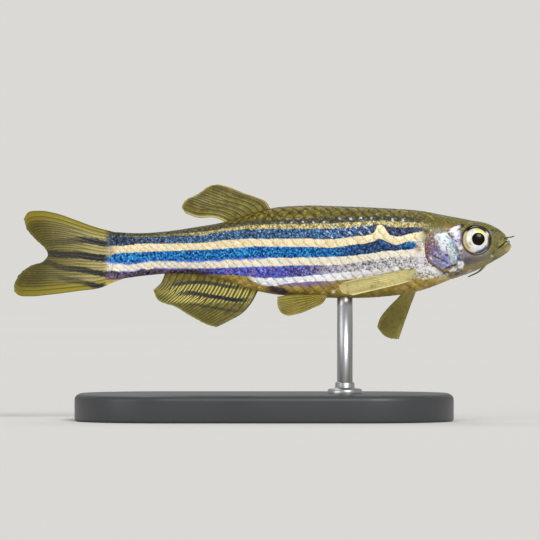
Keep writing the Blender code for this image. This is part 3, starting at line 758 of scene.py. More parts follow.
class Graph:
    """A shader tree laid out by short calls; every input takes a plain value or another node's socket."""

    def __init__(self, tree):
        self.tree = tree

    def node(self, kind, feeds=(), **settings):
        """A node with its settings made and its inputs fed."""
        made = self.tree.nodes.new("ShaderNode" + kind)
        for key, value in settings.items():
            setattr(made, key, value)
        for key, value in dict(feeds).items():
            if isinstance(value, bpy.types.NodeSocket):
                self.tree.links.new(value, made.inputs[key])
            else:
                made.inputs[key].default_value = value
        return made

    def math(self, operation, a, b=0.0):
        return self.node("Math", {0: a, 1: b}, operation=operation).outputs[0]

    def plus(self, a, b):
        return self.math("ADD", a, b)

    def minus(self, a, b):
        return self.math("SUBTRACT", a, b)

    def absolute(self, a):
        return self.math("ABSOLUTE", a)

    def fade(self, value, start, end):
        """0 at start and 1 at end, with soft ends."""
        feeds = {"Value": value, "From Min": start, "From Max": end}
        return self.node("MapRange", feeds, interpolation_type="SMOOTHSTEP").outputs[0]

    def product(self, *parts):
        made = parts[0]
        for part in parts[1:]:
            made = self.math("MULTIPLY", made, part)
        return made

    def between(self, value, low, high, soft):
        """1 between two levels, with soft edges."""
        return self.product(self.fade(value, low, low + soft), self.fade(value, high, high - soft))

    def mix(self, share, a, b):
        """A colour between two."""
        return self.node("Mix", {0: share, 6: a, 7: b}, data_type="RGBA").outputs[2]

    def blend(self, share, a, b):
        """A value between two."""
        return self.node("Mix", {0: share, 2: a, 3: b}).outputs[0]

    def curve(self, at, points, low=-5.0, high=5.0, start=-45.0, end=0.0):
        """The value at a place of a smooth line through (place, value) points."""
        made = self.node("FloatCurve", {"Value": self.node(
            "MapRange", {"Value": at, "From Min": start, "From Max": end}).outputs[0]})
        line = made.mapping.curves[0]
        spots = [((x - start) / (end - start), (value - low) / (high - low)) for x, value in points]
        spots = [(0.0, spots[0][1]), *spots, (1.0, spots[-1][1])]
        while len(line.points) < len(spots):
            line.points.new(0.5, 0.5)
        for point, spot in zip(line.points, spots):
            point.location, point.handle_type = spot, "AUTO_CLAMPED"
        made.mapping.update()
        feeds = {"Value": made.outputs[0], "To Min": low, "To Max": high}
        return self.node("MapRange", feeds, clamp=False).outputs[0]

    def strength(self, at, points):
        """How strongly a band shows along the body, from 0 to 1."""
        return self.curve(at, points, 0.0, 1.0)

    def ramp(self, value, stops):
        """A colour picked by a value; each stop is a place from 0 to 1 with its red, green and blue."""
        made = self.node("ValToRGB", {"Fac": value})
        elements = made.color_ramp.elements
        while len(elements) < len(stops):
            elements.new(1.0)
        for element, (place, *colour) in zip(elements, stops):
            element.position, element.color = place, paint(*colour)
        return made.outputs[0]

    def noise(self, place, scale, detail=2.0):
        """Soft random value around 0.5."""
        return self.node("TexNoise", {"Vector": place, "Scale": scale, "Detail": detail}).outputs[0]

    def warp(self, place, scale, reach):
        """The place pushed about by soft noise, so that what is drawn there looks grown."""
        push = self.node("TexNoise", {"Vector": place, "Scale": scale, "Detail": 3.0}).outputs[1]
        push = self.node("VectorMath", {0: push, 1: (0.5, 0.5, 0.5)}, operation="SUBTRACT").outputs[0]
        push = self.node("VectorMath", {0: push, "Scale": reach}, operation="SCALE").outputs[0]
        return self.node("VectorMath", {0: place, 1: push}, operation="ADD").outputs[0]

    def grain(self, place, scale):
        """Soft granules, from 0 to 1, like pigment cells lying side by side."""
        _, away = self.cells(place, 1.5 * scale)
        soft = self.fade(self.noise(place, scale, 3.0), 0.32, 0.68)
        return self.blend(0.35, soft, self.fade(away, 0.62, 0.1))

    def cells(self, place, scale):
        """Random value of each small cell, and the distance from the cell's middle."""
        made = self.node("TexVoronoi", {"Vector": place, "Scale": scale})
        return self.node("SeparateColor", {0: made.outputs["Color"]}).outputs[0], made.outputs["Distance"]

    def split(self, vector):
        return self.node("SeparateXYZ", {0: vector}).outputs[:3]

    def read(self, name, vector=False):
        """A value kept on the mesh's points."""
        made = self.node("Attribute", attribute_name=name)
        return made.outputs["Vector" if vector else "Fac"]

    def place(self, group, **feeds):
        """A shared group of nodes; its input names are given with low lines for spaces."""
        made = self.node("Group", node_tree=group)
        for key, value in feeds.items():
            socket = made.inputs[key.replace("_", " ")]
            if isinstance(value, bpy.types.NodeSocket):
                self.tree.links.new(value, socket)
            else:
                socket.default_value = value
        return made.outputs


def shared(name, inputs, outputs):
    """An empty group of nodes with named inputs and outputs, kept for several materials."""
    tree = bpy.data.node_groups.new(name, "ShaderNodeTree")
    for way, labels in (("INPUT", inputs), ("OUTPUT", outputs)):
        for label, kind in labels.items():
            tree.interface.new_socket(label, in_out=way, socket_type="NodeSocket" + kind)
    start, end = tree.nodes.new("NodeGroupInput"), tree.nodes.new("NodeGroupOutput")

    def give(**results):
        for key, socket in results.items():
            tree.links.new(socket, end.inputs[key.replace("_", " ")])
        return tree

    return Graph(tree), start.outputs, give


def material(name, **settings):
    """A material with its shader's plain values set, and the graph and shader to work on."""
    made = bpy.data.materials.new(name)
    made.use_nodes = True
    shader = made.node_tree.nodes["Principled BSDF"]
    for key, value in settings.items():
        shader.inputs[key.replace("_", " ")].default_value = value
    return made, Graph(made.node_tree), shader


def connect(g, shader, relief=None, depth=0.02, **feeds):
    """Feeds the shader's inputs; relief is a height over the surface, with its depth in millimetres."""
    for key, value in feeds.items():
        g.tree.links.new(value, shader.inputs[key.replace("_", " ")])
    if relief is not None:
        bump = g.node("Bump", {"Height": relief, "Distance": depth * MM, "Strength": 1.0})
        g.tree.links.new(bump.outputs[0], shader.inputs["Normal"])


def soft_patch_group():
    """A soft-edged oval patch on the side of the body."""
    g, given, give = shared(
        "Soft patch",
        {"Place": "Vector", "X": "Float", "Z": "Float", "Length": "Float", "Height": "Float",
         "Turn": "Float", "Soft": "Float"},
        {"Mask": "Float"})
    x, _, z = g.split(given["Place"])
    x, z = g.minus(x, given["X"]), g.minus(z, given["Z"])
    turn = g.math("RADIANS", given["Turn"])
    cos, sin = g.math("COSINE", turn), g.math("SINE", turn)
    run = g.plus(g.product(x, cos), g.product(z, sin))
    rise = g.minus(g.product(z, cos), g.product(x, sin))
    run, rise = g.math("DIVIDE", run, given["Length"]), g.math("DIVIDE", rise, given["Height"])
    away = g.math("SQRT", g.plus(g.product(run, run), g.product(rise, rise)))
    return give(Mask=g.fade(away, g.plus(1.0, given["Soft"]), g.minus(1.0, given["Soft"])))


def marked(g, place, colour, marks):
    """Lays soft marks over a colour; each is listed as the head's marks are."""
    for x, z, length, tall, turn, soft, strength, tint in marks:
        mark = g.place(soft_patch, Place=place, X=x, Z=z, Length=length, Height=tall, Turn=float(turn),
                       Soft=soft)
        colour = g.mix(g.product(mark["Mask"], strength), colour, paint(*tint))
    return colour


def pigment_group():
    """Small dark pigment spots, each in its own cell, more or fewer by their density."""
    g, given, give = shared("Pigment spots", {"Place": "Vector", "Scale": "Float", "Density": "Float"},
                            {"Mask": "Float"})
    chance, away = g.cells(given["Place"], given["Scale"])
    shown = g.math("LESS_THAN", chance, given["Density"])
    return give(Mask=g.product(shown, g.fade(away, 0.5, 0.2)))


STRIPE_1_TOP = [(-35.68, 1.08), (-33.44, 0.96), (-30.29, 1.08), (-28.04, 1.14), (-25.33, 1.53),
                (-22.63, 1.67), (-19.04, 1.71), (-14.54, 1.8), (-12.55, 2.07), (-11.92, 2.16),
                (-11.29, 1.98), (-10.48, 1.84), (-9.13, 1.84), (-7.51, 1.8)]
STRIPE_1_LOW = [(-35.68, 0.18), (-33.44, 0.36), (-30.29, 0.4), (-28.04, 0.45), (-25.33, 0.72),
                (-22.63, 0.81), (-19.04, 0.81), (-16.34, 0.78), (-14.54, 0.97), (-13.18, 1.12),
                (-12.46, 1.3), (-12.15, 1.89), (-11.92, 2.07), (-11.61, 1.98), (-11.29, 1.53),
                (-10.93, 1.15), (-10.39, 1.01), (-9.58, 1.17), (-8.87, 1.31), (-8.05, 1.53), (-7.51, 1.71)]
STRIPE_2_TOP = [(-36.31, -0.81), (-35.68, -0.49), (-33.44, -0.38), (-30.29, -0.25), (-28.04, -0.18),
                (-25.33, -0.02), (-22.63, 0.13), (-19.04, 0.11), (-16.34, 0.02), (-14.54, 0.27),
                (-12.73, 0.49), (-12.29, 0.67), (-11.92, 0.83), (-11.47, 0.67), (-10.93, 0.41),
                (-10.39, 0.29), (-9.67, 0.5), (-9.13, 0.59), (-8.41, 0.58)]
STRIPE_2_LOW = [(-36.31, -1.26), (-35.68, -1.37), (-33.88, -1.44), (-33.16, -1.26), (-32.53, -1.21),
                (-30.29, -1.19), (-28.04, -1.2), (-25.33, -1.05), (-22.63, -0.92), (-19.04, -0.87),
                (-16.34, -0.81), (-14.54, -0.72), (-12.73, -0.49), (-11.92, -0.36), (-11.21, -0.27),
                (-10.3, -0.22), (-9.13, -0.14), (-8.41, 0.04)]
STRIPE_3_TOP = [(-36.59, -2.07), (-34.52, -2.12), (-33.8, -2.07), (-33.16, -1.85), (-32.71, -1.98),
                (-32.09, -1.82), (-30.29, -1.85), (-28.04, -1.84), (-25.33, -1.78), (-22.63, -1.69),
                (-19.04, -1.55), (-16.34, -1.53), (-14.54, -1.39), (-12.73, -1.1), (-11.83, -0.95),
                (-10.48, -0.81), (-8.41, -0.77)]
STRIPE_3_LOW = [(-36.59, -2.88), (-35.23, -2.83), (-33.44, -2.57), (-30.29, -2.4), (-28.04, -2.4),
                (-25.33, -2.41), (-23.54, -2.56), (-22.45, -2.68), (-21.29, -2.69), (-19.93, -2.61),
                (-18.13, -2.48), (-16.34, -2.29), (-14.54, -2.14), (-12.73, -1.98), (-10.04, -1.62),
                (-8.23, -1.44)]
WHITE_LOW = [(-24.2, -2.7), (-23.54, -2.88), (-22.81, -3.15), (-21.73, -3.38), (-21.02, -3.33),
             (-19.93, -3.15), (-18.13, -3.01), (-16.34, -2.93), (-14.54, -2.83), (-12.73, -2.63),
             (-10.04, -2.25)]
GOLD_TOP = [(-33.44, 1.08), (-30.29, 1.26), (-28.04, 1.42), (-25.33, 1.8), (-22.63, 2.08), (-19.04, 2.14),
            (-14.54, 2.28), (-12.0, 2.42), (-10.04, 2.34), (-7.33, 2.24)]
SPINE_TOP = [(-35.5, 1.35), (-33.44, 1.3), (-30.29, 1.6), (-28.04, 1.84), (-25.33, 2.2), (-22.63, 2.5),
             (-19.04, 2.6), (-14.54, 2.78), (-10.04, 2.8), (-7.33, 2.6)]

BELLY_MARKS = [
    (-21.0, -3.75, 1.0, 0.3, -12, 0.3, 0.9, (62, 44, 66)),
    (-18.6, -3.2, 2.4, 0.22, 2, 0.7, 0.7, (124, 98, 176)),
    (-16.0, -3.9, 0.17, 0.13, 0, 0.7, 0.85, (250, 246, 226)),
]
SHOULDER_MARKS = [
    (-8.25, -1.05, 0.35, 0.7, 0, 0.6, 0.65, (228, 222, 234)),
    (-8.45, -0.1, 0.3, 0.3, 0, 0.5, 0.7, (176, 150, 108)),
    (-8.1, 1.0, 0.3, 0.4, 30, 0.5, 0.6, (196, 190, 166)),
    (-7.1, -2.0, 0.7, 0.16, -28, 0.5, 0.8, (240, 238, 240)),
    (-7.9, -2.75, 0.2, 0.13, 10, 0.5, 0.9, (250, 250, 244)),
    (-7.3, -2.6, 0.22, 0.13, 0, 0.5, 0.8, (246, 246, 240)),
    (-6.9, -2.5, 0.2, 0.14, 0, 0.5, 0.8, (236, 230, 230)),
]


def stripes_group(spots):
    """The colours of the body from the belly up to the back, the same on skin and scales."""
    g, given, give = shared(
        "Danio stripes", {"Place": "Vector", "Edge": "Float", "Low": "Float", "Tone": "Float"},
        {"Colour": "Color", "Metallic": "Float", "Roughness": "Float", "Relief": "Float"})
    place, edge, low, tone = given["Place"], given["Edge"], given["Low"], given["Tone"]
    x, y, z = g.split(place)
    spark, coarse = g.grain(place, 5.2), g.noise(place, 1.3, 4.0)
    ragged = g.minus(g.noise(place, 5.0, 4.0), 0.5)
    level = g.plus(z, g.product(ragged, 0.2))
    level = g.plus(level, g.product(g.minus(coarse, 0.5), 0.16))
    warped = g.warp(place, 2.2, 0.35)

    belly = g.ramp(coarse, [(0.3, 146, 123, 52), (0.5, 178, 152, 74), (0.7, 206, 182, 108)])
    belly = g.mix(g.fade(z, -3.7, -4.5), belly, paint(150, 130, 56))
    belly = marked(g, warped, belly, BELLY_MARKS)
    silver = g.ramp(spark, [(0.05, 118, 114, 118), (0.3, 200, 195, 182), (0.6, 238, 235, 226),
                            (0.9, 255, 255, 250)])
    front = g.product(g.fade(x, -16.0, -12.5), g.fade(level, -2.9, -2.2))
    belly = g.mix(front, belly, silver)

    white = g.ramp(spark, [(0.0, 222, 228, 254), (0.3, 250, 251, 255), (1.0, 255, 255, 248)])
    violet = g.ramp(spark, [(0.05, 62, 52, 96), (0.3, 78, 84, 188), (0.55, 96, 110, 226),
                            (0.88, 172, 180, 250)])
    dusk = g.ramp(spark, [(0.1, 44, 34, 36), (0.4, 94, 76, 66), (0.7, 118, 98, 104),
                          (0.95, 110, 106, 216)])
    dusky = g.strength(x, [(-36, 0.9), (-28.6, 0.95), (-27.0, 0.25), (-25, 0.05), (-20.6, 0.1),
                           (-19.3, 0.35), (-8, 0.3)])
    violet = g.mix(dusky, violet, dusk)
    violet = g.mix(g.product(g.fade(coarse, 0.52, 0.64), 0.5), violet, paint(140, 118, 130))
    cream = g.ramp(spark, [(0.0, 236, 208, 158), (0.4, 246, 228, 184), (1.0, 255, 250, 222)])
    pale = g.ramp(spark, [(0.0, 240, 222, 188), (0.4, 252, 244, 220), (1.0, 255, 254, 244)])
    blue = g.ramp(spark, [(0.04, 8, 34, 82), (0.28, 14, 88, 164), (0.52, 28, 134, 214),
                          (0.78, 78, 186, 236), (1.0, 164, 232, 246)])
    deep = g.ramp(spark, [(0.06, 16, 18, 28), (0.4, 38, 50, 80), (0.7, 62, 82, 128),
                          (0.95, 142, 158, 204)])
    deepened = g.strength(x, [(-36, 0.0), (-17.5, 0.1), (-14, 0.7), (-10.2, 0.85), (-9.2, 0.3), (-8, 0.4)])
    blue = g.mix(deepened, blue, deep)
    navy = g.ramp(spark, [(0.05, 16, 26, 46), (0.35, 42, 80, 120), (0.62, 72, 122, 172),
                          (0.95, 164, 196, 226)])
    darkened = g.strength(x, [(-36, 0.7), (-32, 0.45), (-28, 0.0), (-18, 0.0), (-13, 0.5), (-10.5, 1.0),
                              (-7, 1.0)])
    navy = g.mix(darkened, navy, deep)
    gold = g.ramp(spark, [(0.1, 126, 114, 64), (0.4, 190, 172, 108), (0.8, 246, 234, 184)])
    ground = g.ramp(spark, [(0.1, 96, 88, 42), (0.6, 134, 124, 62), (1.0, 172, 158, 92)])
    dark = g.ramp(spark, [(0.1, 34, 38, 44), (0.45, 72, 74, 66), (0.8, 112, 114, 100),
                          (0.98, 176, 182, 204)])
    back = g.ramp(g.noise(place, 3.4, 4.0), [(0.3, 74, 66, 10), (0.48, 114, 103, 32),
                                             (0.7, 166, 150, 68)])
    back = g.mix(g.fade(g.absolute(y), 0.42, 0.16), back, paint(74, 66, 22))

    bands = [
        # lower edge, colour, what shows through where it fades, gloss, strength along the body
        (WHITE_LOW, white, belly, 0.1,
         [(-24.2, 0.0), (-23.4, 0.7), (-22.6, 1.0), (-17, 1.0), (-13.5, 0.8), (-10, 0.4), (-8.5, 0.2)]),
        (STRIPE_3_LOW, violet, silver, 0.3,
         [(-36.5, 1.0), (-20, 1.0), (-18, 0.85), (-16, 0.5), (-14, 0.25), (-8.5, 0.15)]),
        (STRIPE_3_TOP, pale, silver, 0.2, [(-36.2, 0.5), (-35.4, 1.0), (-9.2, 1.0), (-8.3, 0.5)]),
        (STRIPE_2_LOW, blue, silver, 0.4, [(-36.4, 0.9), (-36, 1.0), (-8.9, 1.0), (-8.4, 0.0)]),
        (STRIPE_2_TOP, cream, back, 0.2, [(-36.2, 0.5), (-35.4, 1.0), (-8.4, 1.0), (-7.8, 0.0)]),
        (STRIPE_1_LOW, navy, ground, 0.3,
         [(-36, 0.9), (-12.5, 1.0), (-12.1, 0.25), (-11.7, 0.25), (-11.3, 1.0), (-8.2, 1.0), (-7.5, 0.0)]),
        (STRIPE_1_TOP, gold, ground, 0.2,
         [(-33, 0.0), (-29, 0.4), (-26, 0.75), (-22, 0.85), (-9, 0.85), (-7.2, 0.2)]),
        (GOLD_TOP, dark, back, 0.1,
         [(-36, 0.9), (-30, 0.8), (-26, 0.7), (-14, 0.9), (-9, 0.75), (-6.8, 0.2)]),
        (SPINE_TOP, back, back, 0.0, [(-36, 1.0), (-7, 1.0)]),
    ]
    colour, gloss = belly, g.product(front, 0.3)
    for line, band, through, shine, shown in bands:
        shown = g.strength(x, shown)
        above = g.fade(g.minus(level, g.curve(x, line)), -0.045, 0.045)
        colour = g.mix(above, colour, g.mix(shown, through, band))
        gloss = g.blend(above, gloss, g.product(shown, shine))
    for line, reach in ((STRIPE_2_LOW, 0.09), (STRIPE_3_TOP, 0.06)):
        off = g.absolute(g.minus(level, g.curve(x, line)))
        hem = g.product(g.fade(off, reach + 0.06, reach - 0.04), g.fade(x, -20.5, -23.0),
                        g.fade(coarse, 0.36, 0.56))
        colour = g.mix(g.product(hem, 0.75), colour, paint(112, 122, 240))

    # Painted glints: silver-white flecks along the scales' free ends, partly the scales' own silver and
    # partly painted highlight; dark pigment hems follow the same ends.
    over = g.minus(z, g.curve(x, STRIPE_1_TOP))
    painted_glint_reach = g.strength(x, [(-22, 0.0), (-20.0, 0.8), (-12.6, 1.0), (-8.6, 0.8), (-7.6, 0.2)])
    row = g.product(g.between(over, 0.45, 1.0, 0.14), g.between(edge, 0.7, 0.88, 0.06),
                    g.fade(g.absolute(low), 0.42, 0.15), g.fade(tone, 0.1, 0.4))
    slant = g.product(g.between(over, -0.95, 0.35, 0.15), g.fade(edge, 0.84, 0.92), g.fade(low, 0.0, 0.3),
                      g.strength(x, [(-17.6, 0.0), (-16.2, 1.0), (-12.9, 1.0), (-12.3, 0.0), (-9.2, 0.0)]))
    painted_glint = g.product(g.math("MAXIMUM", row, slant), painted_glint_reach, g.fade(spark, 0.05, 0.3))
    shine = g.mix(g.fade(spark, 0.2, 0.7), paint(150, 168, 222), paint(248, 250, 252))
    colour = g.mix(painted_glint, colour, shine)
    on_back = g.fade(g.minus(z, g.curve(x, GOLD_TOP)), -0.1, 0.3)
    colour = g.mix(g.product(g.fade(edge, 0.7, 0.95), on_back, 0.6), colour, paint(58, 52, 18))
    speckle = g.place(spots, Place=warped, Scale=6.5, Density=0.5)
    colour = g.mix(g.product(speckle["Mask"], on_back, 0.6), colour, paint(46, 42, 20))
    dotted = g.place(spots, Place=warped, Scale=3.4, Density=0.55)
    dots = g.product(dotted["Mask"], g.fade(x, -16.5, -14.5), g.between(level, -1.9, -0.75, 0.3))
    colour = g.mix(g.product(dots, 0.85), colour, paint(62, 66, 104))
    colour = marked(g, warped, colour, SHOULDER_MARKS)
    tint = g.plus(0.9, g.product(tone, 0.16))
    # Painted light: the colour grows lighter down the lower flank, to lift the shade where it faces
    # downward.
    tint = g.plus(tint, g.product(g.fade(z, -1.2, -3.0), 0.16))
    colour = g.node("HueSaturation", {"Value": tint, "Color": colour}).outputs[0]
    relief = g.plus(g.product(spark, 0.5), g.noise(place, 9.0, 3.0))
    return give(Colour=colour, Metallic=gloss, Roughness=g.blend(spark, 0.56, 0.42), Relief=relief)


# Marks of the head: x, z, half length, half height, turn in degrees, softness, strength, colour.
HEAD_MARKS = [
    # cheek and jaw
    (-3.5, -1.0, 1.0, 0.6, 8, 0.5, 0.85, (104, 97, 88)),
    (-4.3, -0.6, 0.55, 0.45, 0, 0.5, 0.9, (142, 130, 148)),
    (-2.6, -0.7, 0.7, 0.4, 10, 0.6, 0.7, (122, 118, 96)),
    (-4.1, -1.15, 0.4, 0.3, 20, 0.6, 0.8, (76, 70, 76)),
    (-3.2, -1.55, 1.1, 0.2, 18, 0.6, 0.7, (154, 138, 88)),
    (-2.4, -0.4, 0.35, 0.2, 0, 0.6, 0.6, (134, 136, 134)),
    (-0.95, -0.43, 0.6, 0.3, 30, 0.5, 0.7, (146, 137, 88)),
    (-0.3, -0.1, 0.35, 0.25, 35, 0.5, 0.7, (188, 176, 118)),
    (-1.58, -0.89, 0.18, 0.12, 20, 0.5, 0.8, (86, 84, 78)),
    (-1.76, -0.76, 0.09, 0.06, 0, 0.5, 0.9, (232, 228, 206)),
    (-0.5, 0.42, 0.14, 0.09, 30, 0.5, 0.8, (214, 208, 172)),
    # gill cover
    (-6.3, -0.2, 1.45, 1.5, 0, 0.15, 0.9, (158, 154, 176)),
    (-7.25, 0.0, 0.62, 1.1, -6, 0.4, 0.95, (112, 82, 92)),
    (-7.15, 0.62, 0.35, 0.4, 20, 0.6, 0.7, (124, 104, 70)),
    (-6.95, -0.35, 0.42, 0.34, -30, 0.5, 0.9, (126, 104, 164)),
    (-6.9, -0.42, 0.12, 0.1, 0, 0.5, 0.9, (198, 200, 240)),
    (-6.15, 0.85, 0.75, 0.5, 0, 0.3, 0.95, (232, 236, 240)),
    (-6.05, 0.25, 0.5, 0.55, 20, 0.35, 0.95, (236, 240, 246)),
    (-5.4, -0.3, 0.42, 0.5, 25, 0.4, 0.95, (214, 228, 226)),
    (-6.1, -0.6, 0.6, 0.22, -28, 0.5, 0.85, (168, 162, 198)),
    (-5.9, -0.62, 0.14, 0.11, -20, 0.4, 0.95, (40, 44, 112)),
    (-5.95, -1.08, 0.42, 0.26, -30, 0.4, 0.9, (118, 124, 206)),
    (-5.42, -0.98, 0.36, 0.36, 0, 0.4, 0.9, (178, 198, 206)),
    (-4.93, -0.97, 0.12, 0.22, 15, 0.4, 0.95, (36, 112, 204)),
    (-5.08, -0.88, 0.1, 0.12, 0, 0.4, 0.9, (250, 254, 255)),
    (-5.08, -0.12, 0.42, 0.09, -65, 0.5, 0.85, (92, 146, 156)),
    (-5.55, 0.36, 0.2, 0.15, -30, 0.5, 0.85, (140, 222, 224)),
    (-5.8, 0.92, 0.3, 0.07, -42, 0.5, 0.8, (96, 150, 170)),
    (-6.6, 0.85, 0.3, 0.06, -50, 0.5, 0.7, (110, 130, 130)),
    (-6.55, -0.97, 0.9, 0.08, -29, 0.5, 0.95, (74, 40, 56)),
    (-6.6, -1.38, 0.85, 0.19, -22, 0.4, 0.9, (128, 134, 174)),
    (-7.36, -1.0, 0.17, 0.26, 30, 0.4, 0.95, (232, 228, 255)),
    (-7.28, -1.12, 0.06, 0.14, 30, 0.4, 0.9, (116, 92, 216)),
    (-5.9, -1.5, 0.3, 0.1, -10, 0.4, 0.9, (150, 150, 226)),
    (-5.35, -1.58, 0.75, 0.08, 20, 0.4, 0.95, (38, 28, 46)),
    (-6.85, -1.76, 0.65, 0.07, -28, 0.5, 0.9, (152, 88, 50)),
    # under the gill cover
    (-5.31, -1.92, 0.42, 0.17, 22, 0.3, 1.0, (252, 248, 252)),
    (-4.66, -1.5, 0.32, 0.33, 0, 0.3, 1.0, (248, 248, 253)),
    (-4.72, -2.2, 0.45, 0.15, 18, 0.5, 0.85, (76, 54, 64)),
    (-5.9, -2.25, 0.5, 0.2, -15, 0.5, 0.7, (98, 80, 52)),
    (-5.89, -2.33, 0.13, 0.1, 0, 0.4, 0.95, (248, 230, 224)),
    (-3.85, -2.05, 0.28, 0.08, 25, 0.5, 0.8, (214, 192, 182)),
    # between the gill cover and the eye
    (-4.95, 0.85, 0.45, 0.65, 0, 0.35, 0.9, (214, 210, 232)),
    (-4.62, 0.1, 0.24, 0.26, 0, 0.4, 0.95, (248, 246, 253)),
    (-4.64, 1.2, 0.09, 0.22, 0, 0.5, 0.85, (84, 66, 194)),
    (-5.12, 0.58, 0.17, 0.08, -42, 0.4, 0.9, (82, 58, 142)),
    (-4.66, 0.55, 0.08, 0.3, 0, 0.5, 0.8, (110, 82, 172)),
    (-5.2, 1.66, 0.62, 0.19, 28, 0.3, 1.0, (248, 244, 253)),
    (-5.62, 1.13, 0.25, 0.1, -42, 0.4, 0.95, (84, 34, 28)),
    (-5.38, 1.02, 0.16, 0.08, -20, 0.4, 0.85, (92, 84, 36)),
    (-5.35, 1.98, 0.55, 0.06, 26, 0.5, 0.6, (146, 98, 60)),
    (-4.48, 1.98, 0.2, 0.17, 40, 0.4, 0.9, (26, 24, 20)),
    # top of the head and snout
    (-5.95, 2.0, 0.35, 0.17, 0, 0.6, 0.6, (154, 112, 58)),
    (-6.5, 1.52, 0.4, 0.13, 10, 0.6, 0.7, (66, 58, 38)),
    (-1.8, 1.5, 0.28, 0.2, 30, 0.6, 0.6, (96, 98, 90)),
    (-1.15, 1.55, 0.3, 0.14, -40, 0.6, 0.6, (60, 56, 32)),
    (-1.0, 0.86, 0.14, 0.1, 40, 0.6, 0.6, (62, 58, 34)),
]


def skin_finish(stripes, spots):
    """Wet skin: the body's stripes behind the gill covers, and the marks of the head, with painted glints
    on the gill covers and painted shade in the head's folds, pits and slits.
    """
    made, g, shader = material("danio_skin", Coat_Weight=0.14, Coat_Roughness=0.16, Subsurface_Weight=0.1,
                               Subsurface_Scale=0.0005, Specular_IOR_Level=0.35)
    place = g.read("place", vector=True)
    x, _, z = g.split(place)
    gill, eye_rim, mouth, hollow = (g.read(name) for name in ("gill", "eye_rim", "mouth", "hollow"))
    fish = g.place(stripes, Place=place, Edge=0.0, Low=0.0, Tone=0.6)
    cloud, streak = g.noise(place, 1.8, 4.0), g.noise(place, 4.6, 4.0)
    height = g.plus(z, g.product(g.minus(cloud, 0.5), 0.7))
    share = g.node("MapRange", {"Value": height, "From Min": -3.2, "From Max": 2.6}).outputs[0]
    head = g.ramp(share, [(0.0, 136, 112, 54), (0.16, 152, 132, 76), (0.3, 134, 126, 92),
                          (0.5, 130, 126, 98), (0.7, 124, 116, 58), (0.84, 114, 106, 38),
                          (1.0, 98, 90, 24)])
    head = g.mix(g.fade(x, -2.3, -1.5), head, g.mix(cloud, paint(86, 82, 34), paint(140, 132, 68)))
    dots = g.place(spots, Place=g.warp(place, 3.0, 0.3), Scale=5.6, Density=0.6)
    top = g.math("MAXIMUM", g.fade(z, 1.5, 2.2), g.fade(x, -2.6, -1.6))
    head = g.mix(g.product(g.fade(streak, 0.48, 0.7), top, 0.45), head, paint(166, 155, 88))
    head = g.mix(g.product(dots["Mask"], top, 0.7), head, paint(50, 46, 24))
    head = marked(g, g.warp(place, 2.6, 0.42), head, HEAD_MARKS)
    # Painted glints: white flecks over the gill cover, with darker violet flecks between them.
    shimmer = g.product(g.fade(x, -4.1, -4.7), g.fade(z, 2.0, 1.6), g.fade(z, -2.7, -2.3))
    glint_noise = g.noise(place, 5.5, 1.5)
    head = g.mix(g.product(shimmer, g.fade(glint_noise, 0.5, 0.8), 0.5), head, paint(244, 248, 255))
    head = g.mix(g.product(shimmer, g.fade(glint_noise, 0.52, 0.22), 0.9), head, paint(92, 84, 112))
    rim = g.product(g.between(gill, -0.1, 0.42, 0.2), g.fade(z, 1.4, 0.8), g.fade(z, -2.1, -1.5))
    worn_rim = g.product(rim, g.blend(g.fade(glint_noise, 0.6, 0.4), 0.45, 0.95))
    head = g.mix(worn_rim, head, g.mix(g.fade(streak, 0.35, 0.65), paint(82, 38, 32), paint(156, 108, 92)))
    head = g.mix(g.product(g.fade(eye_rim, 0.16, -0.02), 0.85), head,
                 g.mix(g.fade(z, 0.2, 1.2), paint(84, 66, 34), paint(22, 20, 14)))
    # Painted shade along the mouth's slit.
    head = g.mix(g.product(g.fade(g.absolute(mouth), 0.08, 0.02), 0.85), head, paint(58, 46, 26))
    # Painted shade in the head's sunk folds, pits and slits, darker where they sink deeper.
    head = g.mix(g.product(g.fade(hollow, 0.05, 0.16), 0.7), head, paint(52, 42, 36))
    ahead = g.fade(gill, -0.03, 0.03)
    cover = g.product(ahead, g.fade(x, -4.2, -4.9), g.fade(z, 1.9, 1.4))
    gloss = g.blend(ahead, fish["Metallic"], g.product(cover, 0.3))
    relief = g.blend(ahead, fish["Relief"], g.plus(g.noise(place, 6.0, 5.0), g.product(streak, 0.6)))
    connect(g, shader, relief, 0.014, Base_Color=g.mix(ahead, fish["Colour"], head), Metallic=gloss,
            Roughness=fish["Roughness"])
    return made


def scale_finish(stripes):
    """The scales carry the same stripes as the skin, with a sheen that differs from scale to scale."""
    made, g, shader = material("danio_scales", Coat_Weight=0.1, Coat_Roughness=0.2, Specular_IOR_Level=0.24)
    place, edge, low, tone = g.read("place", vector=True), g.read("edge"), g.read("low"), g.read("tone")
    fish = g.place(stripes, Place=place, Edge=edge, Low=low, Tone=tone)
    rings = g.math("SINE", g.product(edge, 60.0))
    relief = g.plus(fish["Relief"], g.product(rings, 0.08))
    connect(g, shader, relief, 0.012, Base_Color=fish["Colour"], Metallic=fish["Metallic"],
            Roughness=fish["Roughness"])
    return made


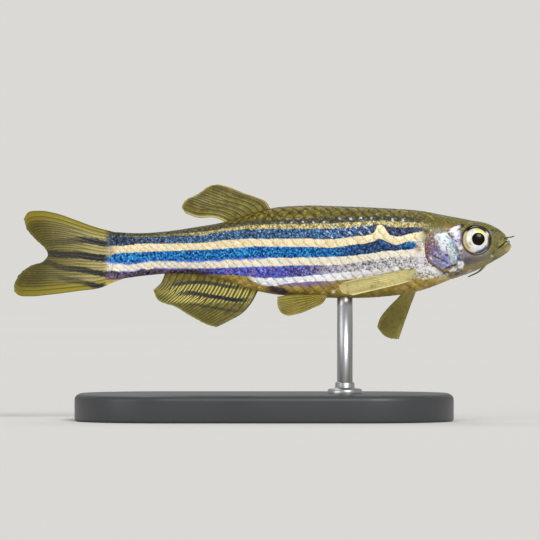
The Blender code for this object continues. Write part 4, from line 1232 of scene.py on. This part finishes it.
def web_group(spots):
    """Thin fin: olive-gold membrane with darker, jointed rays, denser near the root, with a pale hem and
    painted glints beside the rays.
    """
    g, given, give = shared(
        "Fin web", {"Place": "Vector", "Ray": "Float", "Reach": "Float", "Clear": "Float"},
        {"Colour": "Color", "Alpha": "Float", "Relief": "Float"})
    place, ray, reach = given["Place"], given["Ray"], given["Reach"]
    cloud = g.noise(place, 1.2, 4.0)
    web = g.ramp(cloud, [(0.3, 88, 79, 8), (0.5, 116, 105, 24), (0.7, 150, 137, 52)])
    rays = g.mix(g.noise(place, 3.0), paint(54, 48, 6), paint(98, 88, 20))
    colour = g.mix(g.product(g.fade(ray, 0.25, 0.85), 0.8), web, rays)
    # Painted glints: pale highlights on the flanks of the rays.
    painted_glint = g.product(g.between(ray, 0.05, 0.5, 0.15), g.fade(g.noise(place, 3.6, 3.0), 0.54, 0.64))
    colour = g.mix(g.product(painted_glint, 0.45), colour, paint(206, 192, 104))
    dots = g.place(spots, Place=place, Scale=7.0, Density=0.2)
    colour = g.mix(g.product(dots["Mask"], 0.45), colour, paint(44, 40, 18))
    colour = g.mix(g.product(g.fade(reach, 0.955, 0.99), 0.6), colour, paint(176, 164, 90))
    clear = g.product(given["Clear"], g.fade(reach, 0.0, 0.25))
    clear = g.product(clear, g.minus(1.0, g.product(ray, 0.75)))
    joints = g.math("SINE", g.product(reach, 190.0))
    relief = g.plus(g.noise(place, 8.0, 3.0), g.product(joints, ray, 0.35))
    return give(Colour=colour, Alpha=g.minus(1.0, clear), Relief=relief)


TAIL_STRIPES = [
    # centre line, half height, strength along the fin
    ([(-35.41, 0.63), (-36.13, 0.32), (-37.48, 0.58), (-38.38, 0.72), (-40.63, 0.54), (-41.98, 0.45)], 0.3,
     [(-43, 0.0), (-41.5, 0.35), (-39, 0.7), (-37.5, 1.0), (-35, 1.0)]),
    ([(-35.41, -0.9), (-36.13, -0.9), (-37.48, -0.85), (-38.84, -0.65), (-40.63, -0.59), (-41.89, -0.49)],
     0.33, [(-42.5, 0.7), (-41, 0.9), (-35, 1.0)]),
    ([(-35.5, -2.43), (-36.67, -2.34), (-38.38, -2.02), (-40.63, -1.71), (-42.25, -1.26)], 0.27,
     [(-43, 0.5), (-41, 0.75), (-35, 1.0)]),
    ([(-36.2, -3.5), (-37.03, -3.42), (-37.48, -3.38), (-38.38, -3.15), (-39.73, -2.88), (-41.98, -2.43)],
     0.24, [(-42.5, 0.1), (-40.5, 0.45), (-38.5, 0.7), (-37.4, 1.0), (-36.6, 0.9), (-36.2, 0.0)]),
]
ANAL_STRIPES = [
    ([(-24.16, -3.6), (-25.52, -3.46), (-26.68, -3.24), (-28.48, -3.1), (-29.83, -3.24), (-30.91, -3.33)],
     0.17, [(-31.3, 0.2), (-30, 0.9), (-25.5, 0.9), (-23.6, 0.3)]),
    ([(-24.61, -4.68), (-26.23, -4.46), (-27.58, -4.27), (-28.93, -4.05), (-31.18, -4.41)], 0.2,
     [(-31, 0.2), (-29, 0.9), (-24.5, 1.0), (-23.4, 0.4)]),
    ([(-24.61, -5.67), (-27.13, -5.31), (-29.83, -4.95)], 0.13,
     [(-30, 0.1), (-28.5, 0.5), (-25.5, 0.7), (-24, 0.2)]),
]


# Bands along a fin, by share of the way across it: from, to, strength, colour.
DORSAL_HEMS = [(0.0, 0.05, 0.8, (198, 184, 92)), (0.08, 0.14, 0.7, (72, 56, 24)),
               (0.93, 1.0, 0.7, (206, 196, 118))]
FOLDED_HEMS = [(0.0, 0.04, 0.6, (110, 98, 40)), (0.9, 1.0, 0.9, (250, 242, 186))]


def fin_finish(name, web, stripes=(), pale=None, clear=0.2, margin=False, dashes=None, hems=(), wash_and_painted_light=None,
               fish=None):
    """A fin's finish: the shared web with its own stripes, pale bands and coloured margins, and a mottled
    wash that is painted light on the lowered breast fin.
    """
    made, g, shader = material(name, Roughness=0.42, Coat_Weight=0.12, Coat_Roughness=0.2,
                               Specular_IOR_Level=0.3)
    place, ray, reach, across = g.read("place", True), g.read("ray"), g.read("reach"), g.read("across")
    x, _, z = g.split(place)
    made_web = g.place(web, Place=place, Ray=ray, Reach=reach, Clear=clear)
    colour, alpha = made_web["Colour"], made_web["Alpha"]
    wander = g.product(g.minus(g.noise(place, 3.5, 4.0), 0.5), 0.3)
    level = g.plus(z, wander)
    # A mottled wash of colour over the web; on the lowered breast fin it is painted light that lifts the
    # shade the body puts on it.
    if wash_and_painted_light is not None:
        strength, tint, on_rays = wash_and_painted_light
        mottled = g.product(g.fade(g.noise(place, 2.0, 3.0), 0.1, 0.5), strength)
        colour = g.mix(mottled, colour, g.mix(g.fade(ray, 0.3, 0.9), paint(*tint), paint(*on_rays)))
    for low, high, strength, tint in hems:
        hem = g.product(g.between(across, low, high, 0.025), strength)
        colour = g.mix(hem, colour, paint(*tint))
    if pale is not None:
        tint = g.mix(g.noise(place, 6.0, 3.0), paint(150, 134, 60), paint(232, 220, 156))
        tint = g.mix(g.fade(ray, 0.3, 0.9), tint, paint(140, 126, 62))
        colour = g.mix(g.strength(x, pale), colour, tint)
    if margin:
        edges = g.math("MAXIMUM", g.fade(across, 0.16, 0.03), g.fade(across, 0.84, 0.97))
        edges = g.product(edges, g.strength(x, [(-45, 0.5), (-41, 0.8), (-37, 1.0), (-35, 0.6)]))
        colour = g.mix(edges, colour, g.mix(ray, paint(158, 142, 14), paint(104, 94, 6)))
    if dashes is not None:
        low, high, shown = dashes
        band = g.product(g.between(level, low, high, 0.3), g.strength(x, shown),
                         g.between(ray, 0.02, 0.6, 0.1))
        colour = g.mix(band, colour, g.mix(g.noise(place, 5.0), paint(226, 206, 70), paint(250, 244, 160)))
    for line, half, shown in stripes:
        off = g.absolute(g.minus(level, g.curve(x, line)))
        mask = g.product(g.fade(off, half + 0.07, half - 0.09), g.strength(x, shown))
        tint = g.mix(g.grain(place, 4.0), paint(12, 13, 18), paint(66, 66, 52))
        colour = g.mix(mask, colour, g.mix(g.fade(ray, 0.5, 0.0), tint, paint(22, 25, 34)))
        alpha = g.math("MAXIMUM", alpha, g.product(mask, 0.95))
    if fish is not None:
        flesh = g.place(fish, Place=place, Edge=0.0, Low=0.0, Tone=0.6)
        near = g.plus(x, g.product(wander, 3.0))
        on_body = g.fade(near, -36.75, -36.1)
        colour, alpha = g.mix(on_body, colour, flesh["Colour"]), g.math("MAXIMUM", alpha, on_body)
    connect(g, shader, made_web["Relief"], 0.01, Base_Color=colour, Alpha=alpha)
    return made


# Arcs of the iris: middle radius, half width, middle angle, half span in degrees, strength, colour.
IRIS_ARCS = [
    (0.60, 0.13, 58, 34, 0.8, (252, 244, 140)),
    (0.64, 0.07, 66, 14, 0.9, (252, 240, 64)),
    (0.62, 0.12, 8, 34, 0.6, (254, 249, 196)),
    (0.74, 0.05, 112, 12, 0.5, (244, 220, 150)),
    (0.86, 0.10, 176, 66, 0.9, (248, 230, 156)),
    (0.72, 0.06, 184, 34, 0.75, (154, 158, 142)),
    (0.62, 0.05, 176, 24, 0.6, (238, 230, 140)),
    (0.53, 0.05, 218, 10, 0.7, (180, 122, 74)),
    (0.76, 0.07, 221, 12, 0.7, (178, 138, 66)),
    (0.84, 0.06, 302, 26, 0.9, (62, 94, 168)),
    (0.92, 0.05, 298, 34, 0.95, (24, 30, 50)),
    (0.91, 0.10, 356, 18, 0.95, (50, 62, 78)),
    (0.98, 0.06, 350, 26, 0.95, (26, 26, 32)),
    (0.90, 0.13, 88, 52, 1.0, (13, 12, 11)),
    (1.02, 0.08, 200, 62, 0.95, (92, 64, 32)),
]


def eye_finish():
    """A silver-white iris with yellow above, a black pupil and dark arcs round the rim."""
    made, g, shader = material("danio_eye", Roughness=0.3, Coat_Roughness=0.03, Specular_IOR_Level=0.08)
    dial = g.warp(g.read("dial", vector=True), 3.0, 0.07)
    a, _, b = g.split(dial)
    off = g.minus(a, PUPIL_AT)
    near = g.math("SQRT", g.plus(g.product(off, off), g.product(b, b)))
    whole = g.math("SQRT", g.plus(g.product(a, a), g.product(b, b)))
    angle = g.math("ARCTAN2", b, a)
    spokes = g.node("CombineXYZ", {0: g.product(angle, 3.2), 1: g.product(near, 1.6)}).outputs[0]
    streaks = g.noise(spokes, 2.4, 4.0)
    colour = g.ramp(streaks, [(0.3, 222, 222, 220), (0.5, 247, 246, 243), (0.7, 255, 255, 255)])
    for radius, half, middle_angle, span, strength, tint in IRIS_ARCS:
        ring = g.fade(g.absolute(g.minus(whole, radius)), half + 0.045, half - 0.035)
        turn = g.math("COSINE", g.minus(angle, math.radians(middle_angle)))
        arc = g.fade(turn, math.cos(math.radians(span + 12)), math.cos(math.radians(max(span - 12, 0))))
        colour = g.mix(g.product(ring, arc, strength), colour, paint(*tint))
    colour = g.mix(g.fade(near, PUPIL + 0.035, PUPIL + 0.015), colour, paint(196, 184, 128))
    colour = g.mix(g.fade(near, PUPIL + 0.012, PUPIL - 0.012), colour, paint(4, 4, 5))
    gloss = g.product(g.fade(near, PUPIL, PUPIL + 0.06), g.fade(whole, 0.8, 0.7), 0.3)
    connect(g, shader, g.product(streaks, g.fade(near, PUPIL, PUPIL + 0.08)), 0.02, Base_Color=colour,
            Metallic=gloss, Coat_Weight=g.blend(g.fade(near, PUPIL, PUPIL + 0.1), 0.22, 0.6))
    return made


def feeler_finish():
    """Olive-brown feelers that darken towards their tips."""
    made, g, shader = material("danio_feeler", Roughness=0.4, Coat_Weight=0.3)
    place, length = g.read("place", True), g.read("length")
    skin_tone = g.mix(g.noise(place, 6.0, 3.0), paint(104, 96, 48), paint(140, 130, 76))
    colour = g.mix(g.fade(length, 0.35, 0.95), skin_tone, paint(40, 35, 20))
    connect(g, shader, g.noise(place, 14.0), 0.006, Base_Color=colour)
    return made


def wear_group():
    """Faint clouds and fine grain that keep a plain finish from looking flat."""
    g, given, give = shared("Quiet wear", {"Place": "Vector", "Cloud": "Float", "Grain": "Float"},
                            {"Cloud": "Float", "Grain": "Float"})
    return give(Cloud=g.noise(given["Place"], given["Cloud"], 3.0),
                Grain=g.noise(given["Place"], given["Grain"], 4.0))


def base_finish(wear):
    """Satin charcoal plate with a fine grain."""
    made, g, shader = material("base_satin", Coat_Weight=0.1, Coat_Roughness=0.3)
    place = g.node("TexCoord").outputs["Object"]
    mottled = g.place(wear, Place=place, Cloud=120.0, Grain=2600.0)
    colour = g.mix(mottled["Cloud"], paint(50, 51, 54), paint(66, 67, 70))
    connect(g, shader, mottled["Grain"], 0.008, Base_Color=colour, Roughness=g.blend(mottled["Cloud"], 0.34, 0.5))
    return made


def rod_finish(wear):
    """Steel brushed along the rod."""
    made, g, shader = material("rod_brushed", Metallic=1.0)
    place = g.node("TexCoord").outputs["Object"]
    drawn = g.node("Mapping", {"Vector": place, "Scale": (1.0, 1.0, 0.03)}).outputs[0]
    mottled = g.place(wear, Place=drawn, Cloud=900.0, Grain=9000.0)
    colour = g.mix(mottled["Grain"], paint(168, 170, 172), paint(206, 207, 208))
    connect(g, shader, mottled["Grain"], 0.004, Base_Color=colour, Roughness=g.blend(mottled["Cloud"], 0.26, 0.4))
    return made


FLOOR_COLOUR = paint(222, 221, 217)


def floor_finish():
    """Matt, pale paper."""
    made, g, shader = material("pale_floor", Roughness=1.0, Specular_IOR_Level=0.0)
    cloud = g.noise(g.node("TexCoord").outputs["Object"], 9.0)
    connect(g, shader, Base_Color=g.mix(cloud, paint(220, 219, 215), paint(224, 223, 219)))
    return made


LIGHTS = [
    # name, the way to the light, strength, softness in degrees
    ("key", (0.30, -0.78, 0.62), 1.75, 22),
    ("fill", (-0.80, -0.55, 0.35), 0.55, 40),
    ("rim", (-0.10, 0.62, 0.80), 0.60, 30),
]
SKY = 0.42


def studio():
    """Wide pale floor that runs into a background of its own brightness, and three soft lights."""
    sides, reach = 96, 60.0
    turn = np.linspace(0, 2 * math.pi, sides, endpoint=False)
    points = [(r * math.cos(a), r * math.sin(a), -0.02 * MM) for r in (0.1, 1.0, reach) for a in turn]
    points.append((0, 0, -0.02 * MM))
    mesh = bpy.data.meshes.new("studio_floor")
    mesh.from_pydata(points, [], turned_faces(3, sides, True, False))
    mesh.materials.append(floor_finish())
    floor = bpy.data.objects.new("studio_floor", mesh)
    bpy.context.scene.collection.objects.link(floor)
    glow = SKY
    for name, way, strength, softness in LIGHTS:
        light = bpy.data.lights.new(name, "SUN")
        light.energy, light.angle = strength, math.radians(softness)
        lamp = bpy.data.objects.new(name, light)
        lamp.location = Vector(way)
        lamp.rotation_euler = Vector(way).to_track_quat("Z", "Y").to_euler()
        bpy.context.scene.collection.objects.link(lamp)
        glow += strength * Vector(way).normalized().z / math.pi
    world = bpy.data.worlds.new("pale_room")
    world.use_nodes = True
    g = Graph(world.node_tree)
    seen = g.node("LightPath").outputs["Is Camera Ray"]
    sky = (SKY, SKY, SKY, 1)
    far = tuple(c * glow for c in FLOOR_COLOUR[:3]) + (1,)
    world.node_tree.links.new(g.mix(seen, sky, far), world.node_tree.nodes["Background"].inputs["Color"])
    bpy.context.scene.world = world
    bpy.context.scene.view_settings.view_transform = "Standard"


def camera():
    """Level with the fish, square to its side."""
    data = bpy.data.cameras.new("camera")
    data.sensor_width = 36
    data.lens = 36 * CAMERA_DISTANCE / (CAMERA_FIELD * MM)
    data.clip_start = 0.01
    made = bpy.data.objects.new("camera", data)
    x, z = CAMERA_AIM
    made.location = (ORIGIN[0] + x * MM, -CAMERA_DISTANCE, ORIGIN[2] + z * MM)
    made.rotation_euler = (math.pi / 2, 0, 0)
    bpy.context.scene.collection.objects.link(made)
    bpy.context.scene.camera = made


def fish():
    """Skin, scales, fins, eyes and feelers in their finishes."""
    spots = pigment_group()
    stripes = stripes_group(spots)
    web = web_group(spots)
    coat = scale_finish(stripes)
    skin(skin_finish(stripes, spots))
    scales("scales_right", -1, coat)
    scales("scales_left", 1, coat)
    tail_fin(fin_finish("tail_web", web, TAIL_STRIPES, clear=0.1, margin=True, fish=stripes,
                        wash_and_painted_light=(0.8, (84, 75, 6), (62, 55, 4)),
                        pale=[(-43.2, 0.0), (-41.5, 0.15), (-39, 0.5), (-36.5, 0.85), (-35, 0.9)]))
    dorsal_fin(fin_finish("dorsal_web", web, clear=0.14, hems=DORSAL_HEMS))
    anal_fin(fin_finish("anal_web", web, ANAL_STRIPES, clear=0.2,
                        dashes=(-5.1, -3.0, [(-31.5, 0.3), (-30, 0.9), (-24, 0.8), (-22.5, 0.1)])))
    pelvic_web = fin_finish("pelvic_web", web, clear=0.14, wash_and_painted_light=(0.5, (176, 158, 36), (120, 106, 20)))
    pelvic_fin("pelvic_fin_right", -1, pelvic_web)
    pelvic_fin("pelvic_fin_left", 1, pelvic_web)
    folded_web = fin_finish("folded_web", web, clear=0.18, hems=FOLDED_HEMS,
                            wash_and_painted_light=(0.95, (244, 232, 166), (176, 160, 88)))
    pectoral_fin("pectoral_fin_right", -1, *FOLDED, folded_web, 21)
    # Painted light: the lowered far-side breast fin is lightened to lift the shade the body puts on it.
    lowered_web = fin_finish("lowered_web", web, clear=0.14, wash_and_painted_light=(0.85, (212, 198, 104), (140, 126, 56)))
    pectoral_fin("pectoral_fin_left", 1, *LOWERED, lowered_web, 23)
    glass = eye_finish()
    eye("eye_right", -1, glass)
    eye("eye_left", 1, glass)
    feelers(feeler_finish())


def stand():
    """The display base and its rod."""
    wear = wear_group()
    base_plate(base_finish(wear))
    post(rod_finish(wear))


soft_patch = soft_patch_group()
fish()
stand()
studio()
camera()
